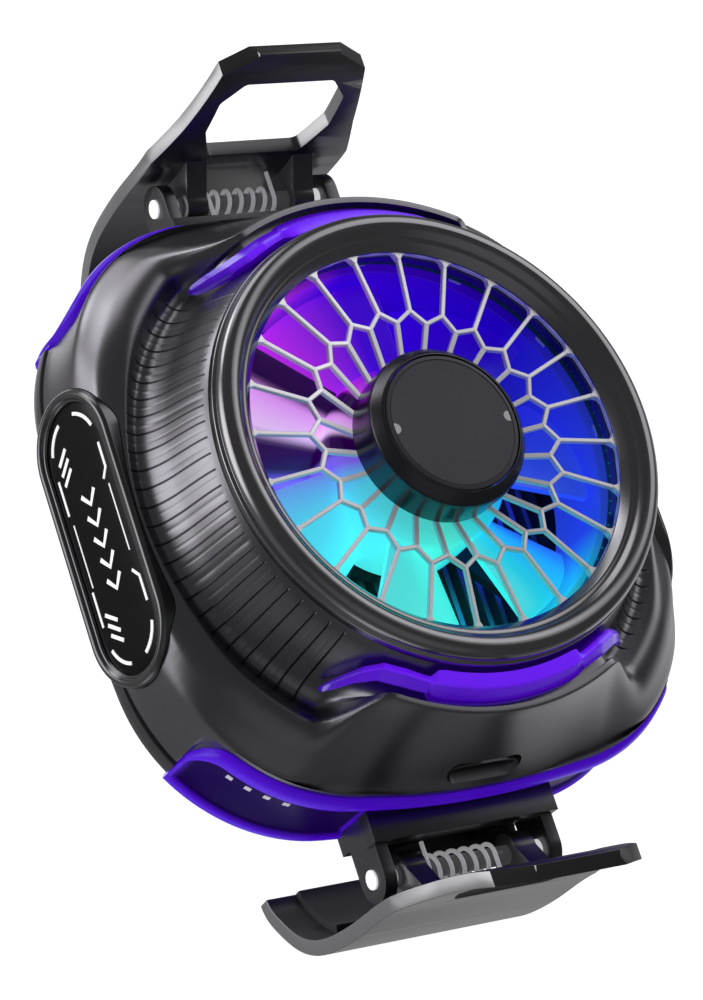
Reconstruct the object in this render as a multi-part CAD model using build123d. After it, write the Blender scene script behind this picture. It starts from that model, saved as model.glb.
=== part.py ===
from build123d import *

import math
import os

# A clip-on cooling fan for a phone. Millimetres. The origin is the centre of the cold face that lies
# against the phone's back, +Z points away from the phone along the fan's axis, +Y towards the upper
# clip and +X along the clips' pins.

# The two sizes that the others are placed from: radius of the intake, height of the seam of the case
intake_r = 21.7
parting_z = 15.2

# Body outline, seen along the fan's axis: four bowed sides joined by round corners, narrower across the
# badges than between the clips. The front half stands back from it, so the rear half's rim shows.
body_out = 4.3
side_bow = 0.6
side_run = 15.0
side_narrow = 1.3
front_inset = 0.6
side_lean_deg = 13.0
wall = 2.0
rear_z = 4.8
rear_round = 4.5
fit_gap = 0.1
press_gap = 0.02
seat_gap = 0.05
cut_over = 1.0

# Front shell: shoulders, valley, neck and the two raised brows
shoulder_top_in = 0.6
shoulder_top_rise = 8.0
shoulder_mid_in = 0.2
shoulder_mid_rise = 6.0
shoulder_low_out = 5.6
shoulder_low_rise = 0.6
shoulder_ceiling_rise = 4.2
valley_out = 1.5
valley_rise = 8.5
valley_round = 2.6
neck_top_in = 0.4
neck_top_rise = 1.1
neck_upper_out = 1.2
neck_upper_drop = 2.2
neck_lower_out = 2.2
neck_lower_rise = 2.8
neck_foot_out = 3.5
neck_foot_drop = 1.5
neck_flange_rise = 1.9
neck_bore_out = 0.2
neck_wall = 2.0
brow_half = 17.6
brow_top_in = 0.6
brow_shoulder_rise = 6.3
brow_crest_in = 6.7
brow_foot_in = 0.7
brow_foot_corner_in = 1.2
brow_lip_out = 0.6
brow_lip_corner_in = 5.2
brow_lip_rise = 1.3
brow_inner_out = 0.5
brow_back_in = 9.4
brow_roof_drop = 1.3
rib_step_deg = 4.0
rib_fan_deg = 96.0
rib_width = 0.35
rib_depth = 0.4
rib_proud = 0.3

# Glossy rim round the intake
rim_outer_out = 4.3
rim_foot_in = 0.4
rim_side_tall = 0.5
rim_crest_swell = 0.4
rim_crest_in = 1.8
rim_crest_rise = 2.1
rim_step_out = 1.4
rim_step_rise = 1.4
rim_lip_rise = 0.1

# Intake grille
grille_top_rise = 1.1
grille_thick = 1.1
grille_outer_out = 1.1
grille_bore_in = 0.4
grille_cells = 24
grille_node_share = 0.69718
grille_vertex_share = 0.91582
grille_bar = 0.62
grille_web = 1.5
hub_share = 0.43192
hub_skirt_drop = 2.0
hub_side_rise = 2.2
hub_top_in = 0.9
hub_top_rise = 1.0
hub_skirt_wall = 0.8
hub_plate_in = 0.5
hub_plate_rise = 0.25
hub_plate_depth = 0.5
hub_stud_r = 0.95
hub_stud_in = 0.1
hub_stud_drop = 0.1

# Light bars over and under the rim
bar_inner_top_out = 0.3
bar_top_rise = 0.2
bar_ridge_out = 1.8
bar_ridge_drop = 0.6
bar_outer_out = 1.1
bar_edge_drop = 1.6
bar_low_drop = 0.9
bar_low_out = 0.45
bar_half_deg = 20.0
tail_wire_r = 0.9
tail_start_deg = 18.0
tail_start_out = 0.2
tail_start_rise = 0.2
tail_mid_deg = 30.0
tail_mid_out = 0.1
tail_mid_drop = 0.1
tail_end_deg = 38.0
tail_end_out = 1.4
tail_end_drop = 4.1

# Rear shell: recessed side panels, vents, platform for the cold plate
recess_depth = 1.0
recess_low_rise = 2.4
recess_high_drop = 2.8
recess_in = 3.4
recess_start_in = 14.9
vent_near_in = 1.9
vent_wide = 1.3
vent_tall = 1.3
vent_drop = 3.3
vent_first_deg = 121.5
vent_step_deg = 4.1
vents_per_corner = 4
platform_out = 3.0
platform_round = 6.0
platform_z = 0.8
boss_in = 11.7
boss_r = 2.4
case_screw_r = 0.9
case_screw_head_r = 1.8
case_screw_seat_rise = 2.1
case_screw_head_tall = 1.3
case_screw_top_rise = 3.4
boss_top_rise = 5.0

# Side cheeks and the badges set across the seam
cheek_out = 7.0
cheek_thick = 1.2
cheek_low_rise = 1.4
cheek_inner_in = 16.9
badge_in = 0.9
badge_drop = 0.6
badge_tilt_deg = 9.0
bezel_long = 33.0
bezel_tall = 13.6
bezel_rim = 1.3
bezel_proud = 0.4
bezel_depth = 1.4
bezel_floor = 0.5
badge_sink = 0.1

# Clips: brackets, pins, springs and levers
pin_out = 5.1
pin_drop = 5.5
pin_r = 1.05
pin_half_out = 0.2
ear_inner_x = 9.7
ear_outer_out = 1.5
ear_round = 2.6
bracket_low_rise = 0.6
bracket_top_drop = 2.0
bracket_seat_in = 1.4
bracket_plate_out = 1.0
bracket_bar_out = 1.1
bracket_bar_low_drop = 2.2
bracket_bar_half_out = 0.4
bracket_screw_x = 5.0
bracket_screw_rise = 2.6
bracket_screw_r = 0.8
bracket_screw_head_r = 1.5
bracket_screw_head_tall = 0.9
bracket_screw_length = 4.0
running_gap = 0.05

spring_wire_r = 0.25
spring_mean_r = 1.5
spring_start_gap = 0.6
spring_end_in = 2.2
spring_turns = 6
spring_tip_gap = 0.3

lever_out = 1.5
lever_thick = 1.7
lever_kink_rise = 4.7
lever_waist_in = 1.7
lever_waist_rise = 10.3
lever_neck_in = 1.9
lever_neck_rise = 18.6
lever_tip_in = 3.9
lever_tip_chamfer = 1.2
lever_places = 24
lug_inner_in = 2.6
lug_outer_in = 1.5
lug_round = 2.35
lug_low_drop = 2.0
lug_high_rise = 2.6
lug_bury = 0.5
loop_low_rise = 5.5
loop_low_out = 0.3
loop_waist_low_rise = 4.4
loop_waist_high_rise = 4.6
loop_waist_in = 1.2
loop_top_rise = 2.6
loop_top_out = 0.4
loop_corner = 1.0
jaw_pad_in = 0.1
jaw_pad_thick = 0.9
jaw_pad_gap = 0.05
jaw_pad_share = 0.22
jaw_pad_places = 8

# Centre line of a lever from the hook's tip to the end of the handle: distance beyond the pin, height over it
lever_hook_line = [(-5.1, -20.9), (-3.4, -20.4), (-1.5, -19.0), (0.5, -17.1), (2.2, -14.6), (3.2, -11.9)]
lever_stem_line = [(3.8, -8.1), (4.05, -3.1), (4.0, 1.9)]
lever_handle_line = [(4.3, 6.5), (4.9, 10.5), (5.7, 14.4), (6.8, 18.1), (7.8, 20.7)]

# Cold side: plate, cooling module, heat sink
plate_half = 20.0
plate_round = 3.0
plate_thick = 1.6
module_half = 15.0
module_thick = 3.4
module_round = 0.5
module_skin = 0.7
module_rows = 16
window_round = 1.5
window_out = 0.4
pad_inner_gap = 0.2
pad_edge_gap = 0.4
sink_in = 8.9
sink_base_thick = 1.5
fin_top_drop = 1.3
fin_pitch = 1.8
fin_thick = 0.6

# Fan and motor
duct_inner_in = 0.1
duct_outer_out = 1.6
duct_top_rise = 12.2
frame_low_rise = 0.2
frame_high_rise = 2.0
frame_disc_in = 0.8
strut_count = 4
strut_wide = 3.0
strut_low_rise = 0.8
lug_out = 2.397
lug_r = 2.2
fan_screw_r = 0.75
fan_screw_head_r = 1.4
fan_screw_head_tall = 1.1
fan_screw_top_rise = 4.6
post_top_rise = 2.0
tube_outer_out = 1.0
tube_top_drop = 2.5
bearing_outer_out = 1.4
bearing_low_rise = 0.2
bearing_high_drop = 0.2
shaft_r = 1.0
shaft_groove_r = 0.75
shaft_low_drop = 0.8
clip_r = 2.1
clip_low_rise = 0.3
clip_thick = 0.4
clip_room = 1.2
shaft_high_drop = 0.5
shaft_gap = 0.03
hub_cup_out = 1.4
hub_cup_wall = 1.2
hub_cup_low_rise = 1.2
hub_cup_top_rise = 0.1
hub_cup_round = 1.5
hub_boss_r = 2.6
hub_boss_low_rise = 0.2
yoke_thick = 0.6
yoke_low_rise = 0.4
magnet_thick = 1.1
magnet_low_rise = 0.2
magnet_high_drop = 2.1
blade_count = 7
blade_tip_in = 0.7
blade_root_chord = 8.6
blade_tip_chord = 14.6
blade_root_rise = 6.4
blade_tip_rise = 5.2
blade_thick = 0.9
blade_camber = 1.2
blade_mid_drop = 4.5
stator_in = 3.6
stator_core_out = 1.0
stator_low_rise = 3.2
stator_high_rise = 3.0
stator_arms = 6
stator_arm_wide = 1.6
stator_shoe = 0.9
stator_shoe_deg = 44.0
winding_thick = 0.9
winding_gap = 0.1
motor_board_out = 0.2
motor_board_thick = 0.9

# Electronics
led_board_inner_out = 0.3
led_board_outer_out = 2.4
led_board_thick = 0.8
led_count = 12
led_size = 1.4
led_tall = 0.7
led_place_out = 0.9
board_half_x = 11.0
board_near_out = 1.4
board_far_in = 3.5
board_thick = 1.2
board_screw_x_in = 2.4
board_screw_in = 2.2
board_screw_r = 0.7
board_screw_head_r = 1.2
board_screw_head_tall = 0.7
board_screw_length = 4.2
board_post_r = 1.5
socket_rise = 3.5
socket_slot_out = 0.66
socket_slot_tall_out = 0.64
socket_slot_back_in = 1.4
socket_wide = 8.94
socket_tall = 3.26
socket_wall = 0.3
socket_mouth_out = 1.2
socket_depth = 7.0
socket_tongue_in = 2.24
socket_tongue_tall = 0.7
socket_tongue_back = 1.2
socket_tongue_inset = 1.0

# Radii, half lengths and heights that follow from the sizes above
shoulder_top_z = parting_z + shoulder_top_rise
shoulder_mid_z = parting_z + shoulder_mid_rise
shoulder_low_z = parting_z + shoulder_low_rise
shoulder_ceiling_z = parting_z + shoulder_ceiling_rise
valley_z = parting_z + valley_rise
neck_foot_z = valley_z - neck_foot_drop
neck_bore_r = intake_r + neck_bore_out
brow_top_half = brow_half - brow_top_in
brow_shoulder_z = parting_z + brow_shoulder_rise
brow_crest_half = brow_half - brow_crest_in
rim_outer_r = intake_r + rim_outer_out
rim_foot_r = rim_outer_r - rim_foot_in
rim_crest_r = rim_outer_r - rim_crest_in
rim_step_r = intake_r + rim_step_out
rim_inner_r = intake_r
grille_outer_r = intake_r + grille_outer_out
grille_bore_r = intake_r - grille_bore_in
grille_node_r = grille_node_share * grille_bore_r
grille_vertex_r = grille_vertex_share * grille_node_r
hub_r = hub_share * grille_bore_r
hub_top_r = hub_r - hub_top_in
hub_plate_r = hub_top_r - hub_plate_in
hub_stud_place = hub_plate_r - hub_stud_in
bar_inner_top_r = rim_outer_r + bar_inner_top_out
bar_ridge_r = rim_outer_r + bar_ridge_out
bar_outer_r = bar_ridge_r + bar_outer_out
tail_start_r = bar_ridge_r + tail_start_out
tail_mid_r = bar_ridge_r + tail_mid_out
tail_end_r = bar_ridge_r + tail_end_out
recess_low_z = rear_z + recess_low_rise
recess_high_z = parting_z - recess_high_drop
vent_z = parting_z - vent_drop
platform_half = plate_half + platform_out
case_screw_seat_z = rear_z + case_screw_seat_rise
case_screw_top_z = parting_z + case_screw_top_rise
boss_top_z = parting_z + boss_top_rise
cheek_half = bezel_long / 2 + cheek_out
cheek_low_z = rear_z + cheek_low_rise
badge_z = parting_z - badge_drop
pin_z = parting_z - pin_drop
ear_outer_x = ear_inner_x + ear_outer_out
bracket_low_z = rear_z + bracket_low_rise
bracket_top_z = parting_z - bracket_top_drop
bracket_bar_low_z = bracket_top_z - bracket_bar_low_drop
bracket_bar_half = ear_outer_x + bracket_bar_half_out
bracket_screw_z = bracket_low_z + bracket_screw_rise
lever_half = ear_outer_x + lever_out
lever_kink_z = pin_z + lever_kink_rise
lever_waist_half = lever_half - lever_waist_in
lever_waist_z = pin_z + lever_waist_rise
lever_neck_half = lever_waist_half - lever_neck_in
lever_neck_z = pin_z + lever_neck_rise
lever_tip_half = lever_neck_half - lever_tip_in
lug_outer_x = ear_inner_x - lug_outer_in
loop_low_z = pin_z + loop_low_rise
loop_waist_low_z = loop_low_z + loop_waist_low_rise
loop_waist_high_z = loop_waist_low_z + loop_waist_high_rise
loop_waist_half = lever_neck_half - loop_waist_in
loop_top_z = loop_waist_high_z + loop_top_rise
loop_top_half = lever_tip_half + loop_top_out
jaw_pad_half = lever_neck_half - jaw_pad_in
window_half = module_half + window_out
fin_top_z = parting_z - fin_top_drop
duct_inner_r = intake_r - duct_inner_in
duct_outer_r = duct_inner_r + duct_outer_out
duct_top_z = parting_z + duct_top_rise
frame_low_z = parting_z + frame_low_rise
frame_high_z = frame_low_z + frame_high_rise
strut_low_z = frame_low_z + strut_low_rise
lug_place = (duct_outer_r + lug_out) / math.sqrt(2)
fan_screw_top_z = frame_high_z + fan_screw_top_rise
post_top_z = fan_screw_top_z + post_top_rise
bearing_low_z = frame_high_z + bearing_low_rise
shaft_low_z = frame_high_z - shaft_low_drop
clip_low_z = shaft_low_z + clip_low_rise
hub_cup_r = hub_r + hub_cup_out
hub_cup_low_z = frame_high_z + hub_cup_low_rise
hub_cup_top_z = duct_top_z + hub_cup_top_rise
yoke_low_z = hub_cup_low_z + yoke_low_rise
magnet_low_z = yoke_low_z + magnet_low_rise
magnet_high_z = hub_cup_top_z - magnet_high_drop
blade_tip_r = duct_inner_r - blade_tip_in
blade_mid_z = duct_top_z - blade_mid_drop
stator_r = hub_cup_r - stator_in
bearing_outer_r = shaft_r + bearing_outer_out
tube_outer_r = bearing_outer_r + tube_outer_out
stator_core_r = tube_outer_r + stator_core_out
stator_low_z = frame_high_z + stator_low_rise
stator_high_z = stator_low_z + stator_high_rise
motor_board_r = stator_r + motor_board_out
led_board_inner_r = intake_r + led_board_inner_out
led_board_outer_r = led_board_inner_r + led_board_outer_out
led_place_r = led_board_inner_r + led_place_out
board_near_y = duct_outer_r + board_near_out
board_screw_x = board_half_x - board_screw_x_in
socket_z = parting_z + socket_rise
socket_slot_wide = socket_wide + socket_slot_out
socket_slot_tall = socket_tall + socket_slot_tall_out
socket_tongue_wide = socket_wide - socket_tongue_in
neck_top_r = rim_outer_r - neck_top_in
neck_upper_r = neck_top_r + neck_upper_out
neck_lower_r = neck_top_r + neck_lower_out
neck_lower_z = neck_foot_z + neck_lower_rise
neck_foot_r = neck_top_r + neck_foot_out
neck_flange_z = duct_top_z + neck_flange_rise
brow_inner_r = bar_outer_r + brow_inner_out
brow_back_y = brow_inner_r - brow_back_in
rim_seat_r = grille_outer_r + fit_gap
bar_low_r = neck_upper_r + bar_low_out
pin_half = ear_outer_x + pin_half_out
lug_inner_x = lug_outer_x - lug_inner_in
loop_low_half = lug_inner_x + loop_low_out
frame_disc_r = hub_cup_r - frame_disc_in
tube_top_z = hub_cup_top_z - tube_top_drop
bearing_high_z = tube_top_z - bearing_high_drop
shaft_high_z = hub_cup_top_z - shaft_high_drop
hub_boss_low_z = tube_top_z + hub_boss_low_rise
valley_r = neck_foot_r + valley_out
neck_top_z = neck_flange_z + neck_top_rise
neck_upper_z = neck_top_z - neck_upper_drop
brow_lip_y = brow_inner_r + brow_lip_out
brow_lip_corner_y = brow_lip_y - brow_lip_corner_in
grille_top_z = neck_top_z + grille_top_rise
hub_skirt_z = neck_top_z - hub_skirt_drop
hub_side_z = grille_top_z + hub_side_rise
hub_top_z = hub_side_z + hub_top_rise
hub_plate_z = hub_top_z + hub_plate_rise
bar_top_z = neck_top_z + bar_top_rise
bar_ridge_z = bar_top_z - bar_ridge_drop
bar_edge_z = bar_ridge_z - bar_edge_drop
bar_low_z = bar_edge_z - bar_low_drop
tail_start_z = bar_edge_z + tail_start_rise
tail_mid_z = bar_edge_z - tail_mid_drop
tail_end_z = bar_edge_z - tail_end_drop
spring_start_x = spring_start_gap - lug_inner_x
spring_end_x = lug_inner_x - spring_end_in
body_half = valley_r + body_out
side_half = body_half - side_narrow
shoulder_top_r = valley_r - shoulder_top_in
shoulder_mid_r = body_half - shoulder_mid_in
shoulder_low_r = body_half + shoulder_low_out
brow_foot_y = body_half - brow_foot_in
brow_foot_corner_y = brow_foot_y - brow_foot_corner_in
brow_lip_z = bar_low_z + brow_lip_rise
brow_roof_z = bar_low_z - brow_roof_drop
rim_side_z = grille_top_z
rim_crest_z = grille_top_z + rim_crest_rise
rim_step_z = grille_top_z + rim_step_rise
rim_lip_z = grille_top_z + rim_lip_rise
recess_half = side_half - recess_in
recess_start_y = body_half - recess_start_in
vent_near_r = body_half - vent_near_in
boss_place = body_half - boss_in
cheek_inner_x = side_half - cheek_inner_in
badge_x = side_half - badge_in
pin_y = body_half + pin_out
bracket_seat_y = body_half - bracket_seat_in
bracket_plate_y = body_half + bracket_plate_out
bracket_bar_y = bracket_plate_y + bracket_bar_out
sink_r = body_half - sink_in
board_far_y = body_half - board_far_in
board_screw_y = board_far_y - board_screw_in
socket_slot_back_y = board_far_y - socket_slot_back_in
socket_mouth_y = board_far_y + socket_mouth_out

# The board lies under the socket
board_low_z = socket_z - socket_tall / 2 - board_thick

os.makedirs("parts", exist_ok=True)


def write(name, shape):
    """Write one piece under its own name."""
    export_step(shape, f"parts/{name}.step")


def turned(points, start_deg=0.0, sweep_deg=360.0):
    """A solid of revolution about the fan's axis from (radius, height) points."""
    outline = Polyline(*[(radius, 0, height) for radius, height in points], close=True)
    solid = revolve(make_face(outline), Axis.Z, sweep_deg)
    return Rot(0, 0, start_deg) * solid


def tube(inner, outer, low, high):
    """A plain ring about the fan's axis."""
    return turned([(inner, low), (outer, low), (outer, high), (inner, high)])


def rod(radius, low, high, x=0.0, y=0.0):
    """A round bar parallel to the fan's axis."""
    return Pos(x, y, low) * extrude(Circle(radius), high - low)


def bar_x(radius, x_low, x_high, y, z):
    """A round bar parallel to the pins."""
    plane = Plane(origin=(x_low, y, z), x_dir=(0, 1, 0), z_dir=(1, 0, 0))
    return extrude(plane * Circle(radius), x_high - x_low)


def block(x_low, x_high, y_low, y_high, z_low, z_high):
    """A box from its lowest and highest corners."""
    size = (x_high - x_low, y_high - y_low, z_high - z_low)
    middle = ((x_low + x_high) / 2, (y_low + y_high) / 2, (z_low + z_high) / 2)
    return Pos(*middle) * Box(*size)


def square_prism(half, corner, low, high):
    """A square prism with round corners, centred on the fan's axis."""
    return Pos(0, 0, low) * extrude(RectangleRounded(2 * half, 2 * half, corner), high - low)


def side_plate(points, x_low, x_high):
    """A plate parallel to the clips' side view, from (y, z) points."""
    outline = Polyline(*[(x_low, y, z) for y, z in points], close=True)
    return extrude(make_face(outline), x_high - x_low, dir=(1, 0, 0))


def mirrored(shape):
    """The same piece for the lower clip, mirrored across the pins' plane."""
    return mirror(shape, Plane.XZ)


def body_outline():
    """The outline of the body, as a flat face at height zero."""
    end = body_half - side_bow
    side_radius = (side_run**2 + side_bow**2) / (2 * side_bow)
    turn = math.asin(side_run / side_radius)
    corner_radius = (end - side_run) / math.sqrt(2) / math.sin(math.pi / 4 - turn)
    centre = end - corner_radius * math.cos(turn)
    reach = centre + corner_radius / math.sqrt(2)
    run_x = side_run - side_narrow
    end_x = end - side_narrow
    reach_x = reach - side_narrow
    half = [
        ThreePointArc((end_x, -side_run), (side_half, 0), (end_x, side_run)),
        ThreePointArc((end_x, side_run), (reach_x, reach), (run_x, end)),
        ThreePointArc((run_x, end), (0, body_half), (-run_x, end)),
        ThreePointArc((-run_x, end), (-reach_x, reach), (-end_x, side_run)),
    ]
    edges = half + [Rot(0, 0, 180) * edge for edge in half]
    return make_face(edges)


def body_prism(inset, low, high):
    """The body's outline moved inward by inset and given a height."""
    face = body_outline()
    if inset:
        face = offset(face, -inset)
    return Pos(0, 0, low) * extrude(face, high - low)


def rear_form(inset, low, rounding):
    """The rear half's rounded outer form, or the same form moved inward."""
    form = body_prism(inset, low, parting_z)
    return fillet(form.faces().sort_by(Axis.Z)[0].edges(), rounding)


def badge_plane(side):
    """The plane of the badge on the left (-1) or right (+1) side, facing outward."""
    tilt = math.radians(badge_tilt_deg)
    normal = (side * math.cos(tilt), 0, math.sin(tilt))
    return Plane(origin=(side * badge_x, 0, badge_z), x_dir=(0, 1, 0), z_dir=normal)


def obround(side, long, tall, low, high):
    """A plate with round ends in the plane of a badge, from depth low to depth high."""
    plane = badge_plane(side).offset(low)
    return extrude(plane * SlotOverall(long, tall), high - low)


def neck_points(push):
    """The neck's outer profile moved outward by push, from the top down."""
    return [
        (neck_top_r + push, neck_top_z),
        (neck_upper_r + push, neck_upper_z),
        (neck_lower_r + push, neck_lower_z),
        (neck_foot_r + push, neck_foot_z),
    ]


def shoulder_dome(inset):
    """The form under the shoulders' round upper surface, lowered by an inset."""
    top = (shoulder_top_r, 0, shoulder_top_z - inset)
    middle = (shoulder_mid_r, 0, shoulder_mid_z - inset)
    low = (shoulder_low_r, 0, shoulder_low_z - inset)
    floor_z = parting_z - wall - cut_over
    sides = Polyline(low, (shoulder_low_r, 0, floor_z), (0, 0, floor_z), (0, 0, top[2]), top)
    return revolve(make_face([ThreePointArc(top, middle, low), sides]), Axis.Z, 360)


def brow_form(inset):
    """The raised brow above the rim, between its foot on the seam and its lip."""
    back = brow_back_y
    foot_end = brow_half - inset
    lip_end = brow_top_half - inset
    lip_z = brow_lip_z - inset
    foot = [
        ThreePointArc(
            (-foot_end, brow_foot_corner_y - inset, parting_z),
            (0, brow_foot_y - inset, parting_z),
            (foot_end, brow_foot_corner_y - inset, parting_z),
        ),
        Polyline(
            (foot_end, brow_foot_corner_y - inset, parting_z),
            (foot_end, back, parting_z),
            (-foot_end, back, parting_z),
            (-foot_end, brow_foot_corner_y - inset, parting_z),
        ),
    ]
    lip = [
        ThreePointArc(
            (-lip_end, brow_lip_corner_y - inset, lip_z),
            (0, brow_lip_y - inset, lip_z),
            (lip_end, brow_lip_corner_y - inset, lip_z),
        ),
        Polyline(
            (lip_end, brow_lip_corner_y - inset, lip_z),
            (lip_end, back, lip_z),
            (-lip_end, back, lip_z),
            (-lip_end, brow_lip_corner_y - inset, lip_z),
        ),
    ]
    return loft([make_face(foot), make_face(lip)], ruled=True)


def light_tail(side, swell):
    """The thin curved end of a light bar, which drops into the valley."""
    marks = [
        (tail_start_deg, tail_start_r, tail_start_z),
        (tail_mid_deg, tail_mid_r, tail_mid_z),
        (tail_end_deg, tail_end_r, tail_end_z),
    ]
    points = []
    for angle, radius, height in marks:
        turn = math.radians(angle)
        points.append((side * radius * math.sin(turn), radius * math.cos(turn), height))
    path = ThreePointArc(*points)
    section = Plane(origin=path @ 0, z_dir=path % 0) * Circle(tail_wire_r + swell)
    return sweep(section, path=path)


def light_bar():
    """The upper light bar: a faceted bar along the rim with a thin tail at each end."""
    profile = [
        (bar_inner_top_r, bar_top_z),
        (bar_ridge_r, bar_ridge_z),
        (bar_outer_r, bar_edge_z),
        (bar_outer_r, bar_low_z),
        (bar_low_r, bar_low_z),
        (neck_upper_r + seat_gap, neck_upper_z),
    ]
    bar = turned(profile, 90 - bar_half_deg, 2 * bar_half_deg)
    neck = turned([(0, neck_foot_z)] + neck_points(seat_gap)[::-1] + [(0, neck_top_z)])
    tails = light_tail(-1, 0) + light_tail(1, 0)
    return bar + (tails - neck)


def neck_body():
    """The solid neck from the seam up to the rim's seat."""
    return turned([(0, parting_z), (neck_foot_r, parting_z)] + neck_points(0)[::-1] + [(0, neck_top_z)])


def brow():
    """One brow with the ledge that carries the light bar."""
    slopes = [(brow_half, parting_z), (brow_half, brow_shoulder_z), (brow_crest_half, brow_lip_z)]
    ends = front_view(slopes, brow_back_y - cut_over, body_half + cut_over)
    raised = (brow_form(0) & ends) - rod(brow_inner_r, neck_foot_z, brow_lip_z + cut_over)
    ledge_profile = [
        (0, parting_z),
        (brow_inner_r + cut_over, parting_z),
        (brow_inner_r, neck_foot_z),
        (brow_inner_r, bar_low_z),
        (0, bar_low_z),
    ]
    return raised + turned(ledge_profile, 90 - bar_half_deg, 2 * bar_half_deg)


def ribs():
    """Fine ribs that fan out over the left and right sides of the neck."""
    foot = (neck_foot_r, neck_foot_z)
    top = (neck_upper_r, neck_upper_z)
    profile = [
        (foot[0] - rib_depth, foot[1]),
        (foot[0] + rib_proud, foot[1]),
        (neck_lower_r + rib_proud, neck_lower_z),
        (top[0] + rib_proud, top[1]),
        (top[0] - rib_depth, top[1]),
    ]
    outline = Polyline(*[(radius, -rib_width / 2, height) for radius, height in profile], close=True)
    blade = extrude(make_face(outline), rib_width, dir=(0, 1, 0))
    count = int(rib_fan_deg / rib_step_deg)
    found = []
    for side in (0, 180):
        for index in range(count + 1):
            found.append(Rot(0, 0, side - rib_fan_deg / 2 + index * rib_step_deg) * blade)
    return found


def front_cavity():
    """The hollow inside the front shell."""
    low = parting_z - cut_over
    room = body_prism(wall + front_inset, low, shoulder_ceiling_z) & shoulder_dome(wall)
    neck_room = turned(
        [
            (0, low),
            (neck_foot_r - neck_wall, low),
            (neck_foot_r - neck_wall, neck_foot_z),
            (neck_lower_r - neck_wall, neck_lower_z),
            (led_board_outer_r + fit_gap, neck_upper_z),
            (led_board_outer_r + fit_gap, neck_flange_z),
            (0, neck_flange_z),
        ]
    )
    brow_ends = front_view(
        [
            (brow_half - wall, low),
            (brow_half - wall, brow_shoulder_z - wall),
            (brow_crest_half - wall, brow_roof_z),
        ],
        brow_back_y - cut_over,
        body_half + cut_over,
    )
    brow_room = brow_form(wall) & brow_ends
    return room + neck_room + brow_room + mirrored(brow_room)


def corners(place):
    """The four corner places at the same distance from both middle planes."""
    return [(x * place, y * place) for x in (-1, 1) for y in (-1, 1)]


def front_shell():
    """The front half of the case."""
    draft = math.tan(math.radians(side_lean_deg))
    height = neck_top_z - parting_z
    lower = offset(body_outline(), -front_inset)
    upper = offset(lower, -height * draft)
    leaning = loft([Pos(0, 0, parting_z) * lower, Pos(0, 0, neck_top_z) * upper], ruled=True)
    shoulder = leaning & shoulder_dome(0)
    shoulder -= Pos(0, 0, valley_z) * Torus(valley_r, valley_round)
    shell = shoulder + neck_body() + brow() + mirrored(brow())
    low = -bezel_depth - wall
    backing = [obround(side, bezel_long + 2 * wall, bezel_tall + 2 * wall, low, 0) for side in (-1, 1)]
    backing = (backing[0] + backing[1]) & shell
    shell -= front_cavity()
    shell += backing
    shell += [rod(boss_r, parting_z, boss_top_z, x, y) for x, y in corners(boss_place)]
    shell += [rod(lug_r, frame_high_z, post_top_z, x, y) for x, y in corners(lug_place)]
    shell += ribs()
    shell -= rod(neck_bore_r, neck_flange_z - cut_over, neck_top_z + cut_over)
    shell -= [rod(case_screw_r + seat_gap, parting_z, case_screw_top_z, x, y) for x, y in corners(boss_place)]
    shell -= [rod(fan_screw_r + seat_gap, frame_high_z, fan_screw_top_z, x, y) for x, y in corners(lug_place)]
    for side in (-1, 1):
        tail = light_tail(side, seat_gap)
        shell -= tail
        shell -= mirrored(tail)
        shell -= badge_pocket(side)
    shell -= socket_slot()
    return shell


def badge_pocket(side):
    """The room that a bezel takes in the case."""
    low = -bezel_depth - fit_gap
    return obround(side, bezel_long + 2 * fit_gap, bezel_tall + 2 * fit_gap, low, wall + cut_over)


def socket_slot():
    """The slot in the lower brow's face, in front of the power socket."""
    plane = Plane(origin=(0, -socket_slot_back_y, socket_z), x_dir=(1, 0, 0), z_dir=(0, -1, 0))
    length = wall + body_half - socket_slot_back_y
    return extrude(plane * SlotOverall(socket_slot_wide, socket_slot_tall), length)


def cheek_room(grow):
    """The space of both cheeks, grown by a clearance."""
    half = cheek_half + grow
    low = cheek_low_z - grow
    far = body_half + cut_over
    left = block(-far, -cheek_inner_x, -half, half, low, parting_z)
    return left + block(cheek_inner_x, far, -half, half, low, parting_z)


def rear_skin(depth):
    """The rear shell's outermost layer, down to a depth."""
    return rear_form(0, rear_z, rear_round) - rear_form(depth, rear_z + depth, rear_round - depth)


def side_recess():
    """The shallow panel sunk into the upper side of the rear shell, which runs round both corners."""
    middle = (0, recess_start_y, (recess_low_z + recess_high_z) / 2)
    plane = Plane(origin=middle, x_dir=(1, 0, 0), z_dir=(0, 1, 0))
    height = recess_high_z - recess_low_z
    window = extrude(plane * SlotOverall(2 * recess_half, height), body_half - recess_start_y + cut_over)
    return window & (body_prism(-cut_over, rear_z, parting_z) - body_prism(recess_depth, rear_z, parting_z))


def side_vents():
    """The short exhaust slots in the corners of the sunk panels."""
    far = body_half * math.sqrt(2)
    slot = block(vent_near_r, far, -vent_wide / 2, vent_wide / 2, vent_z - vent_tall, vent_z)
    slots = []
    for index in range(vents_per_corner):
        turn = vent_first_deg + index * vent_step_deg
        slots.append(Rot(0, 0, turn) * slot)
        slots.append(Rot(0, 0, 180 - turn) * slot)
    return slots


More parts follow.
